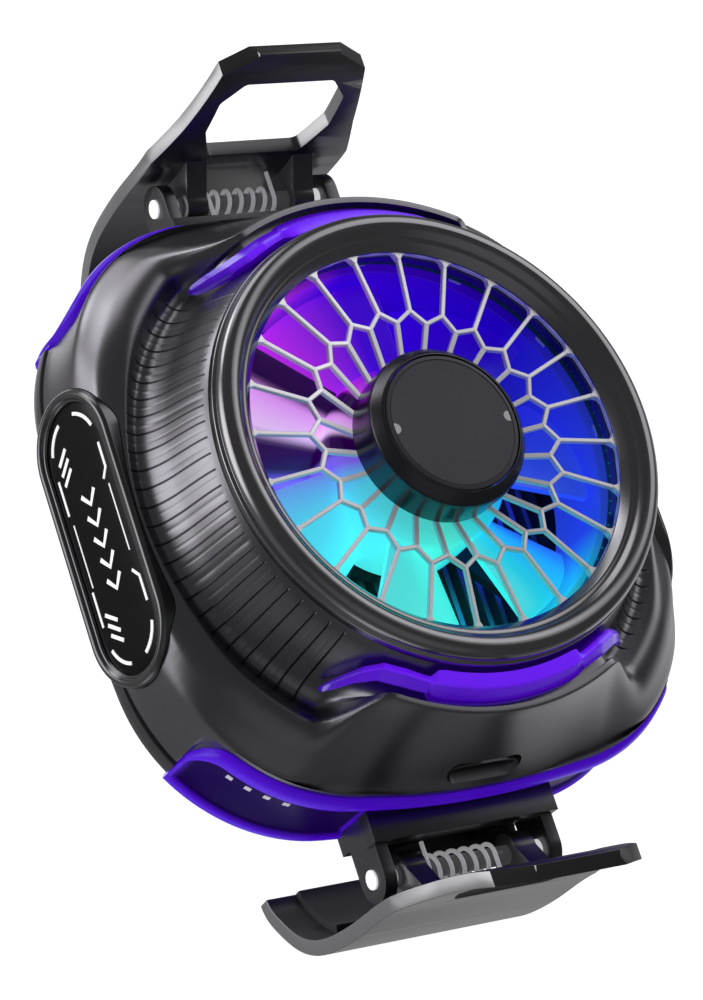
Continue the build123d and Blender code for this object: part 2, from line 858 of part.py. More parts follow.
def rear_shell():
    """The translucent rear half of the case, a tray with a square platform for the cold plate."""
    shell = rear_form(0, rear_z, rear_round)
    shell += square_prism(platform_half, platform_round, platform_z, rear_z)
    inner = wall + recess_depth
    shell -= fillet_floor(body_prism(inner, rear_z + wall, parting_z + cut_over), rear_round - wall)
    shell += [rod(boss_r, rear_z + wall, parting_z, x, y) for x, y in corners(boss_place)]
    post_places = (-board_screw_x, board_screw_x)
    shell += [rod(board_post_r, rear_z + wall, board_low_z, x, -board_screw_y) for x in post_places]
    shell -= square_prism(window_half, window_round, 0, rear_z + wall + cut_over)
    shell -= square_prism(plate_half + fit_gap, plate_round, 0, plate_thick)
    shell -= side_recess()
    shell -= mirrored(side_recess())
    for slot in side_vents():
        shell -= slot
        shell -= mirrored(slot)
    shell -= cheek_room(fit_gap) & rear_skin(cheek_thick + fit_gap)
    for x, y in corners(boss_place):
        shell -= rod(case_screw_r + seat_gap, rear_z, parting_z, x, y)
        shell -= rod(case_screw_head_r + seat_gap, rear_z - cut_over, case_screw_seat_z, x, y)
    for side in (-1, 1):
        shell -= badge_pocket(side)
    shell -= [
        rod(board_screw_r + seat_gap, board_low_z - board_screw_length, board_low_z, x, -board_screw_y)
        for x in (-board_screw_x, board_screw_x)
    ]
    seat = bracket_room(seat_gap)
    shell -= seat
    shell -= mirrored(seat)
    holes = bracket_screw_holes()
    shell -= holes
    shell -= [mirrored(hole) for hole in holes]
    return shell


def fillet_floor(shape, radius):
    """A prism whose lower edges are rounded."""
    return fillet(shape.faces().sort_by(Axis.Z)[0].edges(), radius)


def cheeks():
    """The two hard side panels of the rear half, left then right."""
    both = cheek_room(0) & rear_skin(cheek_thick)
    for side in (-1, 1):
        both -= badge_pocket(side)
    solids = sorted(both.solids(), key=lambda piece: piece.center().X)
    return solids[0], solids[-1]


def bezel(side):
    """The rim tray that frames a badge."""
    tray = obround(side, bezel_long, bezel_tall, -bezel_depth, bezel_proud)
    tray -= obround(
        side,
        bezel_long - 2 * bezel_rim,
        bezel_tall - 2 * bezel_rim,
        bezel_floor - bezel_depth,
        bezel_proud + cut_over,
    )
    return tray


def badge(side):
    """The glossy plate inside a bezel."""
    inset = bezel_rim + fit_gap
    low = bezel_floor - bezel_depth
    return obround(side, bezel_long - 2 * inset, bezel_tall - 2 * inset, low, -badge_sink)


def rim():
    """The glossy rounded rim round the intake."""
    side_top = rim_side_z + rim_side_tall
    crest_mid_r = (rim_outer_r + rim_crest_r) / 2 + rim_crest_swell
    crest_mid_z = (side_top + rim_crest_z) / 2 + rim_crest_swell
    lip_under = grille_top_z + seat_gap
    outline = [
        Line((rim_step_r, 0, rim_step_z), (rim_inner_r, 0, rim_lip_z + seat_gap)),
        Line((rim_inner_r, 0, rim_lip_z + seat_gap), (rim_inner_r, 0, lip_under)),
        Polyline(
            (rim_inner_r, 0, lip_under),
            (rim_seat_r, 0, lip_under),
            (rim_seat_r, 0, neck_top_z),
            (rim_foot_r, 0, neck_top_z),
            (rim_outer_r, 0, rim_side_z),
            (rim_outer_r, 0, side_top),
        ),
        ThreePointArc(
            (rim_outer_r, 0, side_top),
            (crest_mid_r, 0, crest_mid_z),
            (rim_crest_r, 0, rim_crest_z),
        ),
        Line((rim_crest_r, 0, rim_crest_z), (rim_step_r, 0, rim_step_z)),
    ]
    return revolve(make_face(outline), Axis.Z, 360)


def polar(radius, degrees):
    """A point in plan from its radius and angle."""
    turn = math.radians(degrees)
    return radius * math.cos(turn), radius * math.sin(turn)


def grille():
    """The intake grille: spokes that fork round a ring of cells and slope down to the hub."""
    low = grille_top_z - grille_thick
    step = 360 / grille_cells
    plan = Circle(grille_outer_r) - Circle(grille_bore_r)
    for index in range(grille_cells):
        angle = index * step
        node = polar(grille_node_r, angle + step / 2)
        rim_end = polar(grille_bore_r + grille_bar, angle + step / 2)
        before = polar(grille_vertex_r, angle)
        after = polar(grille_vertex_r, angle + step)
        for path in (Line(rim_end, node), Line(before, node), Line(node, after)):
            plan += trace(path, grille_bar)
        web = Rot(0, 0, angle + step / 2) * Polyline(
            (grille_bore_r - grille_web, 0),
            (grille_bore_r + grille_bar, -grille_web),
            (grille_bore_r + grille_bar, grille_web),
            close=True,
        )
        plan += make_face(web)
        plan += Pos(*before) * Circle(grille_bar / 2)
        plan += Pos(*node) * Circle(grille_bar / 2)
    plate = extrude(Pos(0, 0, low) * plan, grille_thick)
    disc_top = hub_skirt_z + grille_thick
    plate += rod(hub_r + grille_thick, hub_skirt_z, disc_top)
    profile = [
        (hub_r, hub_skirt_z),
        (hub_r + grille_thick, hub_skirt_z),
        (grille_vertex_r, low),
        (grille_vertex_r, grille_top_z),
        (hub_r + grille_thick, disc_top),
        (hub_r, disc_top),
    ]
    outline = Polyline(*[(radius, -grille_bar / 2, height) for radius, height in profile], close=True)
    spoke = extrude(make_face(outline), grille_bar, dir=(0, 1, 0))
    return plate + [Rot(0, 0, index * step) * spoke for index in range(grille_cells)]


def hub_studs(grow=0.0):
    """The two bright studs at the edge of the hub's plate."""
    low = hub_plate_z - hub_plate_depth - hub_stud_drop
    high = hub_plate_z - hub_stud_drop + grow * cut_over
    return [rod(hub_stud_r + grow * press_gap, low, high, x, 0) for x in (-hub_stud_place, hub_stud_place)]


def hub_cap():
    """The raised cap over the grille's centre."""
    foot = hub_skirt_z + grille_thick
    roof = hub_plate_z - hub_plate_depth
    cap = turned(
        [
            (hub_r - hub_skirt_wall, foot),
            (hub_r, foot),
            (hub_r, hub_side_z),
            (hub_top_r, hub_top_z),
            (hub_plate_r + fit_gap, hub_top_z),
            (hub_plate_r + fit_gap, roof),
            (0, roof),
            (0, roof - hub_skirt_wall),
            (hub_r - hub_skirt_wall, roof - hub_skirt_wall),
        ]
    )
    for stud in hub_studs(1.0):
        cap -= stud
    return cap


def hub_plate():
    """The dark disc let into the hub cap."""
    plate = rod(hub_plate_r, hub_plate_z - hub_plate_depth, hub_plate_z)
    for stud in hub_studs(1.0):
        plate -= stud
    return plate


def bracket_profile(grow):
    """The clip bracket's plate, as a solid grown by a clearance."""
    far = bracket_plate_y + grow
    return block(
        -ear_outer_x - grow,
        ear_outer_x + grow,
        bracket_seat_y - grow,
        far,
        bracket_low_z - grow,
        bracket_top_z + grow,
    )


def bracket_room(grow):
    """The pocket in the rear shell behind a bracket."""
    deep = bracket_profile(grow)
    half = bracket_bar_half + grow
    near = bracket_seat_y - grow
    bar = block(-half, half, near, bracket_bar_y, bracket_bar_low_z - grow, bracket_top_z + grow)
    return deep + bar


def bracket_screw(y_head, radius, head_radius):
    """A screw through the bracket into the rear shell, in the middle of the bracket."""
    plane = Plane(origin=(0, y_head, bracket_screw_z), x_dir=(1, 0, 0), z_dir=(0, -1, 0))
    shank = extrude(plane * Circle(radius), bracket_screw_length)
    head = extrude(plane * Circle(head_radius), -bracket_screw_head_tall)
    return shank + head


def bracket_screw_holes():
    """The holes that the upper bracket's screws need."""
    plane = Plane(origin=(0, bracket_plate_y + cut_over, bracket_screw_z), x_dir=(1, 0, 0), z_dir=(0, -1, 0))
    hole = extrude(plane * Circle(bracket_screw_r + seat_gap), bracket_screw_length + cut_over)
    return [Pos(x, 0, 0) * hole for x in (-bracket_screw_x, bracket_screw_x)]


def bracket():
    """The upper clip's bracket: a plate with a bar and two ears for the pin."""
    shape = bracket_profile(0)
    shape += block(
        -bracket_bar_half,
        bracket_bar_half,
        bracket_seat_y,
        bracket_bar_y,
        bracket_bar_low_z,
        bracket_top_z,
    )
    low = pin_z - ear_round
    high = pin_z + ear_round
    for side in (-1, 1):
        x_low, x_high = sorted((side * ear_inner_x, side * ear_outer_x))
        points = [(bracket_seat_y, low), (pin_y, low), (pin_y, high), (bracket_seat_y, high)]
        ear = side_plate(points, x_low, x_high)
        ear += bar_x(ear_round, x_low, x_high, pin_y, pin_z)
        shape += ear
    shape -= bar_x(pin_r + press_gap, -pin_half, pin_half, pin_y, pin_z)
    shape -= bracket_screw_holes()
    return shape


def lever_centre():
    """The lever's centre line in the side view, from the hook's tip to the handle's end."""
    points = [(0, pin_y + y, pin_z + z) for y, z in lever_hook_line + lever_stem_line + lever_handle_line]
    return Spline(*points)


def beside(path, place, push):
    """A point at a distance from a path in the side view, outward for a positive distance."""
    point = path @ place
    along = path % place
    return (0, point.Y + push * along.Z, point.Z - push * along.Y)


def ribbon(path, start, end, low, high, count):
    """A flat face in the side view that follows a path between two distances from it."""
    places = [start + (end - start) * index / count for index in range(count + 1)]
    near = [beside(path, place, low) for place in places]
    far = [beside(path, place, high) for place in places]
    edges = [Spline(*near), Line(near[-1], far[-1]), Spline(*far), Line(far[0], near[0])]
    return make_face(edges)


def plate_from(face, half):
    """A face of the side view given a width, centred on the middle plane."""
    return Pos(-half, 0, 0) * extrude(face, 2 * half, dir=(1, 0, 0))


def front_view(points, near, far):
    """A prism along Y from (half width, height) points, the same on both sides."""
    right = [(x, 0, z) for x, z in points]
    left = [(-x, 0, z) for x, z in reversed(points)]
    face = make_face(Polyline(*right, *left, close=True))
    return Pos(0, near, 0) * extrude(face, far - near, dir=(0, 1, 0))


def lever():
    """The upper clip's lever: a hook, a stem and a handle with a finger loop, bent from one strip."""
    path = lever_centre()
    strip = plate_from(ribbon(path, 0, 1, -lever_thick / 2, lever_thick / 2, lever_places), lever_half)
    end_z = pin_z + lever_handle_line[-1][1]
    low = pin_z + lever_hook_line[0][1] - 2 * lever_thick
    high = end_z + 2 * lever_thick
    near = pin_y + lever_hook_line[0][0] - 2 * lever_thick
    far = pin_y + lever_handle_line[-1][0] + 2 * lever_thick
    outline = front_view(
        [
            (lever_half - lever_tip_chamfer, low),
            (lever_half, low + 2 * lever_tip_chamfer),
            (lever_half, lever_kink_z),
            (lever_waist_half, lever_waist_z),
            (lever_neck_half, lever_neck_z),
            (lever_tip_half, end_z),
            (lever_tip_half, high),
        ],
        near,
        far,
    )
    loop = front_view(
        [
            (loop_low_half, loop_low_z),
            (loop_waist_half, loop_waist_low_z),
            (loop_waist_half, loop_waist_high_z),
            (loop_top_half, loop_top_z),
        ],
        near,
        far,
    )
    loop = fillet(loop.edges().filter_by(Axis.Y), loop_corner)
    shape = (strip & outline) - loop
    stem_y = pin_y + lever_stem_line[1][0] - lever_thick / 2 + lug_bury
    low_z = pin_z - lug_round
    high_z = pin_z + lug_round
    for side in (-1, 1):
        x_low, x_high = sorted((side * lug_inner_x, side * lug_outer_x))
        lug = side_plate(
            [
                (pin_y, low_z),
                (stem_y, low_z - lug_low_drop),
                (stem_y, high_z + lug_high_rise),
                (pin_y, high_z),
            ],
            x_low,
            x_high,
        )
        lug += bar_x(lug_round, x_low, x_high, pin_y, pin_z)
        shape += lug
    return shape - bar_x(pin_r + running_gap, -pin_half, pin_half, pin_y, pin_z)


def jaw_pad():
    """The soft pad on the inner face of the upper lever's hook."""
    path = lever_centre()
    near = -lever_thick / 2 - jaw_pad_gap
    face = ribbon(path, 0, jaw_pad_share, near - jaw_pad_thick, near, jaw_pad_places)
    return plate_from(face, jaw_pad_half)


def spring_point(turn):
    """A point of the clip spring's centre line and the direction there, by the number of turns made."""
    ramp = 0.5
    run = spring_end_x - spring_start_x
    slope = run / (spring_turns - ramp)
    if turn < ramp:
        x = slope * turn**2 / (2 * ramp)
        rate = slope * turn / ramp
    elif turn > spring_turns - ramp:
        left = spring_turns - turn
        x = run - slope * left**2 / (2 * ramp)
        rate = slope * left / ramp
    else:
        x = slope * (turn - ramp / 2)
        rate = slope
    angle = math.pi / 2 - 2 * math.pi * turn
    y = pin_y + spring_mean_r * math.cos(angle)
    z = pin_z + spring_mean_r * math.sin(angle)
    around = 2 * math.pi * spring_mean_r
    along = Vector(rate, around * math.sin(angle), -around * math.cos(angle)).normalized()
    return Vector(spring_start_x + x, y, z), along


def biarc(start, start_way, end, end_way):
    """Two arcs that join two points and share their directions and each other's."""
    span = end - start
    bend = 2 * (start_way.dot(end_way) - 1)
    lean = -2 * span.dot(start_way + end_way)
    reach = (-lean - math.sqrt(lean**2 - 4 * bend * span.dot(span))) / (2 * bend)
    near = start + start_way * reach
    far = end - end_way * reach
    joint = (near + far) * 0.5
    return [arc_from(start, start_way, joint), arc_from(joint, far - near, end)]


def arc_from(start, way, end):
    """An arc that leaves a point in a direction and ends at another point."""
    way = way.normalized()
    chord = end - start
    half = chord * 0.5
    turn = math.acos(max(-1.0, min(1.0, way.dot(chord.normalized()))))
    side = (way - chord.normalized() * way.dot(chord.normalized())).normalized()
    rise = half.length * math.tan(turn / 2)
    return ThreePointArc(start, start + half + side * rise, end)


def spring():
    """The upper clip's torsion spring, one wire with a leg at each end."""
    stations = [spring_point(index / 2) for index in range(2 * spring_turns + 1)]
    first = stations[0][0]
    last = stations[-1][0]
    bracket_end = Vector(first.X, bracket_bar_y + spring_tip_gap, first.Z)
    lever_end = Vector(last.X, pin_y + lever_stem_line[1][0] - lever_thick / 2 - spring_tip_gap, last.Z)
    edges = [Line(bracket_end, first)]
    for (start, start_way), (end, end_way) in zip(stations, stations[1:]):
        edges += biarc(start, start_way, end, end_way)
    edges.append(Line(last, lever_end))
    path = Wire(edges)
    section = Plane(origin=bracket_end, z_dir=(0, 1, 0)) * Circle(spring_wire_r)
    return sweep(section, path=path)


def spring_gap():
    """The least gap between two turns of the spring's wire."""
    per_turn = 48
    points = [spring_point(index / per_turn)[0] for index in range(per_turn * spring_turns + 1)]
    least = min(
        (points[i] - points[j]).length
        for i in range(0, len(points), 2)
        for j in range(i + per_turn // 2, len(points), 2)
    )
    return least - 2 * spring_wire_r


def cold_side():
    """The cold plate, the soft frame round it, the cooling module and the heat sink."""
    write("cold_plate", square_prism(plate_half, plate_round - fit_gap, 0, plate_thick))
    inner = square_prism(plate_half + pad_inner_gap, plate_round, -cut_over, platform_z + cut_over)
    pad = square_prism(platform_half - pad_edge_gap, platform_round - pad_edge_gap, 0, platform_z) - inner
    write("contact_pad", pad)
    module_top = plate_thick + module_thick
    module = square_prism(module_half, module_round, plate_thick, plate_thick + module_skin)
    module += square_prism(module_half, module_round, module_top - module_skin, module_top)
    pellet = 2 * module_half / (2 * module_rows)
    low = plate_thick + module_skin
    high = module_top - module_skin
    core = square_prism(module_half - pellet, module_round, low, high)
    write("thermoelectric_module", module + core)
    floor = rear_z + wall
    base_top = floor + sink_base_thick
    base = rod(sink_r, floor, base_top) + square_prism(module_half, module_round, module_top, floor)
    count = int(sink_r / fin_pitch)
    plan = Sketch() + [
        Pos(index * fin_pitch, 0) * Rectangle(fin_thick, 2 * sink_r) for index in range(-count, count + 1)
    ]
    plan = plan & Circle(sink_r)
    sink = base + Pos(0, 0, base_top) * extrude(plan, fin_top_z - base_top)
    write("heat_sink", sink)


def blade():
    """One fan blade, from inside the hub's wall to the tip circle."""
    sections = []
    for radius, chord, rise in (
        (hub_cup_r - hub_cup_wall / 2, blade_root_chord, blade_root_rise),
        (blade_tip_r, blade_tip_chord, blade_tip_rise),
    ):
        half = chord / 2
        low = blade_mid_z - rise / 2
        high = blade_mid_z + rise / 2
        skin = blade_thick / 2
        swell = blade_mid_z + blade_camber
        upper_ends = ((radius, -half, high + skin), (radius, half, low + skin))
        lower_ends = ((radius, half, low - skin), (radius, -half, high - skin))
        upper = ThreePointArc(upper_ends[0], (radius, 0, swell + skin), upper_ends[1])
        lower = ThreePointArc(lower_ends[0], (radius, 0, swell - skin), lower_ends[1])
        edges = [upper, Line(upper @ 1, lower @ 0), lower, Line(lower @ 1, upper @ 0)]
        sections.append(make_face(edges))
    return loft(sections, ruled=True) & rod(blade_tip_r, hub_cup_low_z, hub_cup_top_z)


def impeller():
    """The fan's hub with its blades."""
    cup = turned(
        [
            (hub_cup_r - hub_cup_wall, hub_cup_low_z),
            (hub_cup_r, hub_cup_low_z),
            (hub_cup_r, hub_cup_top_z),
            (0, hub_cup_top_z),
            (0, hub_boss_low_z),
            (hub_boss_r, hub_boss_low_z),
            (hub_boss_r, hub_cup_top_z - hub_cup_wall),
            (hub_cup_r - hub_cup_wall, hub_cup_top_z - hub_cup_wall),
        ]
    )
    cup = fillet(cup.faces().sort_by(Axis.Z)[-1].edges(), hub_cup_round)
    one = blade()
    cup += [Rot(0, 0, 360 / blade_count * index) * one for index in range(blade_count)]
    return cup - rod(shaft_r + press_gap, hub_boss_low_z - cut_over, shaft_high_z + press_gap)


def rotor():
    """The turning pieces of the motor and the impeller."""
    write("impeller", impeller())
    cup_inner = hub_cup_r - hub_cup_wall
    yoke_inner = cup_inner - yoke_thick
    yoke_high = hub_cup_top_z - hub_cup_wall
    write("rotor_yoke", tube(yoke_inner, cup_inner - press_gap, yoke_low_z, yoke_high))
    magnet_inner = yoke_inner - magnet_thick
    write("rotor_magnet", tube(magnet_inner, yoke_inner - press_gap, magnet_low_z, magnet_high_z))
    groove = clip_low_z + clip_thick
    shaft = turned(
        [
            (0, shaft_low_z),
            (shaft_r, shaft_low_z),
            (shaft_r, clip_low_z),
            (shaft_groove_r, clip_low_z),
            (shaft_groove_r, groove),
            (shaft_r, groove),
            (shaft_r, shaft_high_z),
            (0, shaft_high_z),
        ]
    )
    write("fan_shaft", shaft)
    clip = tube(shaft_groove_r + press_gap, clip_r, clip_low_z + press_gap, groove - press_gap)
    mouth = block(0, 2 * clip_r, -shaft_groove_r, shaft_groove_r, shaft_low_z, hub_cup_low_z)
    write("shaft_clip", clip - mouth)


def stator():
    """The fixed pieces of the motor."""
    inner = tube_outer_r + seat_gap
    plan = Circle(stator_core_r) - Circle(inner)
    arm_end = stator_r - stator_shoe
    shoe_ring = Circle(stator_r) - Circle(arm_end)
    step = 360 / stator_arms
    for index in range(stator_arms):
        place = Rot(0, 0, index * step)
        middle = (stator_core_r + arm_end) / 2
        length = arm_end - stator_core_r + 2 * seat_gap + stator_shoe / 2
        plan += place * (Pos(middle, 0) * Rectangle(length, stator_arm_wide))
        reach = 2 * stator_r
        edge = [polar(reach, -stator_shoe_deg / 2), polar(reach, stator_shoe_deg / 2)]
        wedge = make_face(Polyline((0, 0), edge[0], edge[1], close=True))
        plan += place * (shoe_ring & wedge)
    plan -= Circle(inner)
    write("stator_core", Pos(0, 0, stator_low_z) * extrude(plan, stator_high_z - stator_low_z))
    near = stator_core_r + winding_gap
    arm_half = stator_arm_wide / 2 + winding_gap
    outer_half = arm_half + winding_thick
    far = math.sqrt(arm_end**2 - outer_half**2) - winding_gap
    low = stator_low_z - winding_gap
    high = stator_high_z + winding_gap
    winding = block(near, far, -outer_half, outer_half, low - winding_thick, high + winding_thick)
    winding -= block(near - cut_over, far + cut_over, -arm_half, arm_half, low, high)
    write("stator_windings", Compound([Rot(0, 0, index * step) * winding for index in range(stator_arms)]))
    board_top = stator_low_z - winding_gap - winding_thick - winding_gap
    board = tube(inner, motor_board_r, board_top - motor_board_thick, board_top)
    write("motor_board", board)


def motor_frame():
    """The frame that carries the motor: a disc with a bearing tube, four struts, a ring and four lugs."""
    frame = rod(frame_disc_r, frame_low_z, frame_high_z)
    frame += rod(tube_outer_r, frame_high_z, tube_top_z)
    frame += tube(duct_inner_r, duct_outer_r, frame_low_z, frame_high_z)
    reach = lug_place * math.sqrt(2)
    strut = block(frame_disc_r - cut_over, reach, -strut_wide / 2, strut_wide / 2, strut_low_z, frame_high_z)
    for index in range(strut_count):
        frame += Rot(0, 0, (index + 0.5) * 360 / strut_count) * strut
    frame += [rod(lug_r, frame_low_z, frame_high_z, x, y) for x, y in corners(lug_place)]
    frame -= [
        rod(fan_screw_r + seat_gap, frame_low_z - cut_over, frame_high_z + cut_over, x, y)
        for x, y in corners(lug_place)
    ]
    frame -= rod(bearing_outer_r + press_gap, bearing_low_z - clip_room, tube_top_z + cut_over)
    return frame


def screws(places, head_r, shank_r, head_low, head_high, top):
    """A group of like screws that point up, with their heads underneath."""
    return Compound(
        [rod(head_r, head_low, head_high, x, y) + rod(shank_r, head_high, top, x, y) for x, y in places]
    )


def fan_and_motor():
    """The duct, the motor frame, the motor and the screws that hold the frame."""
    write("duct_ring", tube(duct_inner_r, duct_outer_r, frame_high_z, duct_top_z))
    write("motor_frame", motor_frame())
    write("bearing_sleeve", tube(shaft_r + shaft_gap, bearing_outer_r, bearing_low_z, bearing_high_z))
    stator()
    rotor()
    head_low = frame_low_z - fan_screw_head_tall
    write(
        "frame_screws",
        screws(
            corners(lug_place),
            fan_screw_head_r,
            fan_screw_r,
            head_low,
            frame_low_z,
            fan_screw_top_z - fit_gap,
        ),
    )


def electronics():
    """The light board, its lights, the control board and the power socket."""
    led_board_low = neck_flange_z - led_board_thick
    write("light_board", tube(led_board_inner_r, led_board_outer_r, led_board_low, neck_flange_z))
    led = block(
        led_place_r - led_size / 2,
        led_place_r + led_size / 2,
        -led_size / 2,
        led_size / 2,
        led_board_low - led_tall,
        led_board_low,
    )
    write("lights", Compound([Rot(0, 0, 360 / led_count * index) * led for index in range(led_count)]))
    board_top = board_low_z + board_thick
    board = block(-board_half_x, board_half_x, -board_far_y, -board_near_y, board_low_z, board_top)
    places = [(x, -board_screw_y) for x in (-board_screw_x, board_screw_x)]
    low = board_low_z - cut_over
    board -= [rod(board_screw_r + seat_gap, low, board_top + cut_over, x, y) for x, y in places]
    write("control_board", board)
    screw_end = board_top - board_screw_length
    write(
        "board_screws",
        Compound(
            [
                rod(board_screw_head_r, board_top, board_top + board_screw_head_tall, x, y)
                + rod(board_screw_r, screw_end, board_top, x, y)
                for x, y in places
            ]
        ),
    )
    plane = Plane(origin=(0, -socket_mouth_y, socket_z), x_dir=(1, 0, 0), z_dir=(0, 1, 0))
    inner_wide = socket_wide - 2 * socket_wall
    inner_tall = socket_tall - 2 * socket_wall
    can = extrude(plane * SlotOverall(socket_wide, socket_tall), socket_depth)
    can -= extrude(plane.offset(-cut_over) * SlotOverall(inner_wide, inner_tall), socket_depth + 2 * cut_over)
    write("power_socket", can)
    block_wide = inner_wide - 2 * press_gap
    block_tall = inner_tall - 2 * press_gap
    back = plane.offset(socket_depth - socket_tongue_back)
    insert = extrude(back * SlotOverall(block_wide, block_tall), socket_tongue_back)
    tongue = plane.offset(socket_tongue_inset) * Rectangle(socket_tongue_wide, socket_tongue_tall)
    insert += extrude(tongue, socket_depth - socket_tongue_inset)
    write("socket_insert", insert)


def case():
    """The case, its light bars, cheeks, badges, rim, grille and hub."""
    write("front_shell", front_shell())
    write("rear_shell", rear_shell())
    bar = light_bar()
    write("top_light_bar", bar)
    write("bottom_light_bar", mirrored(bar))
    left_cheek, right_cheek = cheeks()
    write("left_cheek", left_cheek)
    write("right_cheek", right_cheek)
    for side, name in ((-1, "left"), (1, "right")):
        write(f"{name}_bezel", bezel(side))
        write(f"{name}_badge", badge(side))
    write("front_rim", rim())
    write("grille", grille())
    write("hub_cap", hub_cap())
    write("hub_plate", hub_plate())
    write("hub_studs", Compound(hub_studs()))
    head_high = case_screw_seat_z
    head_low = head_high - case_screw_head_tall
    write(
        "case_screws",
        screws(
            corners(boss_place),
            case_screw_head_r,
            case_screw_r,
            head_low,
            head_high,
            case_screw_top_z - fit_gap,
        ),
    )


def clips():
    """Both spring clips: bracket, screws, pin, spring, lever and pad."""
    screw = bracket_screw(bracket_plate_y, bracket_screw_r, bracket_screw_head_r)
    pieces = {
        "bracket": bracket(),
        "bracket_screws": Compound([Pos(x, 0, 0) * screw for x in (-bracket_screw_x, bracket_screw_x)]),
        "pin": bar_x(pin_r, -pin_half, pin_half, pin_y, pin_z),
        "spring": spring(),
        "lever": lever(),
        "jaw_pad": jaw_pad(),
    }
    for name, shape in pieces.items():
        write(f"top_{name}", shape)
        write(f"bottom_{name}", mirrored(shape))


case()
cold_side()
fan_and_motor()
electronics()
clips()
print("least gap between the turns of a spring", round(spring_gap(), 2))
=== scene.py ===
import math

import bmesh
import bpy
import numpy as np
from mathutils import Matrix, Vector


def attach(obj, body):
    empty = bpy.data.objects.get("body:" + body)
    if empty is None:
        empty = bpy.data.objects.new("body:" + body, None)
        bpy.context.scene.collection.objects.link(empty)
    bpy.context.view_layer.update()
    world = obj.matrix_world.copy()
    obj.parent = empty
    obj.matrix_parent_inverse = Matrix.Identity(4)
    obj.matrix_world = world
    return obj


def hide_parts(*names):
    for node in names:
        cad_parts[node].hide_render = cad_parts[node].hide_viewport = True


# A clip-on phone cooler: ribbed front case with a glossy rim and a silver grille, purple light bars and
# rear tray, badges on the sides and two sprung clips. Places below are in millimetres until a mesh is made.

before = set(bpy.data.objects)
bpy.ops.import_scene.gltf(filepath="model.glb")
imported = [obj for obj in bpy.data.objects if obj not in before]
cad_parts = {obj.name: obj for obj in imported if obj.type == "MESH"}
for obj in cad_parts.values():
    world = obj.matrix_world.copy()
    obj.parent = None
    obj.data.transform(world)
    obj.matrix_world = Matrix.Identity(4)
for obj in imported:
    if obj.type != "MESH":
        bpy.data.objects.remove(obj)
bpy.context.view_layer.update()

MM = 0.001

# Case outline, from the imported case
CASE_HALF = 34.9
SIDE_BOW = 0.6
SIDE_RUN = 15.0
SIDE_NARROW = 1.3
FRONT_INSET = 0.6
FRONT_CORNER_IN = 0.3
FRONT_CORNER_R = 33.6
FRONT_CORNER_FADE = 4.0
WALL = 2.0

# Front case's profile as (radius, height): the neck, the brows over and under the rim, the pillow at the
# corners and the side wall. A brow's front is (share of the way out, height), PILLOW_RISE is (radius, its
# share of the outline's reach, height, its share), and SIDE_DROP is (how far in from the outline, height).
NECK_TOP = [(21.9, 29.3)] * 2 + [(21.9, 30.4)] * 2 + [(25.5, 30.4)] * 2 + [(26.2, 29.4)]
NECK_SLOPE = [(26.75, 28.0), (27.2, 26.6), (27.6, 25.2), (28.0, 23.9), (28.6, 22.6), (29.3, 21.6)]
BAR_SEAT = [(26.6, 28.4), (26.9, 27.45), (26.9, 27.45), (28.4, 27.45), (29.4, 27.45), (29.4, 27.45)]
BROW_LIP = [(29.45, 28.85), (29.45, 28.85), (30.1, 28.85), (30.2, 28.7)]
BROW_EDGE_R = 30.2
BROW_FRONT_SHARES = [(0.14, 26.4), (0.45, 22.4), (0.78, 18.8)]
PILLOW_FOOT = [(30.1, 21.25), (30.8, 21.35)]
PILLOW_START_R = 33.0
PILLOW_RISE = [
    (31.3, 0.20, 21.75, 0.14),
    (31.8, 0.38, 21.65, 0.12),
    (32.2, 0.60, 21.0, 0.07),
    (32.6, 0.78, 19.9, 0.0),
]
SIDE_TOP = [(29.95, 21.2), (30.6, 21.3), (31.2, 21.45), (31.75, 21.1)]
SIDE_DROP = [(0.85, 20.2), (0.55, 18.9), (0.25, 16.6), (-0.05, 14.4)]
SIDE_WALL_DEG = 12.0
SIDE_FADE_DEG = 27.0
BROW_END_DEG = 27.0
BROW_FADE_DEG = 38.0
FOOT_GAP = 0.3
HEM_OUT = 0.35
HEM_CORNER_IN = 0.45
HEM_FADE = 2.5
INNER_SEAT_Z = 18.8
INNER_WALL = [(26.5, 19.0), (24.8, 27.0), (24.8, 29.3)]

# Purple windows of the rear tray, one round each end of the case between the cheeks
WINDOW_START_DEG = 39.0
WINDOW_RISE_DEG = 6.0
WINDOW_HIGH_Z = 16.3
WINDOW_CORNER_RISE = 1.2
WINDOW_CORNER_R = 34.2
WINDOW_CORNER_FADE = 3.0
WINDOW_FULL_TALL = 8.0
WINDOW_END_GAP_DEG = 0.35
CHEEK_TOP_Z = 10.0
TRAY_LOW_Z = 4.8
PANEL_IN = 0.38
PANEL_TALL = 8.4
PANEL_FADE = 2.6
RECESS_DEEP = 0.65
UPPER_LIP_IN = 0.75
UPPER_LIP_DEG = 9.0
TRAY_CUT_DEG = 30.0
TRAY_CUT = [(1.9, 4.9), (-3.0, 4.9), (-3.0, 18.0), (1.9, 18.0)]
BRACKET_ROOM = [(-11.7, 33.4), (11.7, 33.4), (11.7, 38.0), (-11.7, 38.0)]
BRACKET_ROOM_Z = (5.2, 13.35)

# Rows of a window's rolled top and of its lower lip: how far in, and how high from its upper edge or foot
WINDOW_ROWS_HIGH = [
    (2.6, -1.2), (1.7, -0.3), (1.2, -0.05), (0.85, 0.0), (0.45, -0.18),
    (0.18, -0.55), (0.05, -1.05), (0.1, -1.55), (0.25, -1.95), (0.38, -2.15),
]
WINDOW_ROWS_LOW = [(0.4, 2.45), (0.32, 2.1), (0.42, 1.4), (0.8, 0.75), (1.5, 0.25), (2.6, 0.15)]

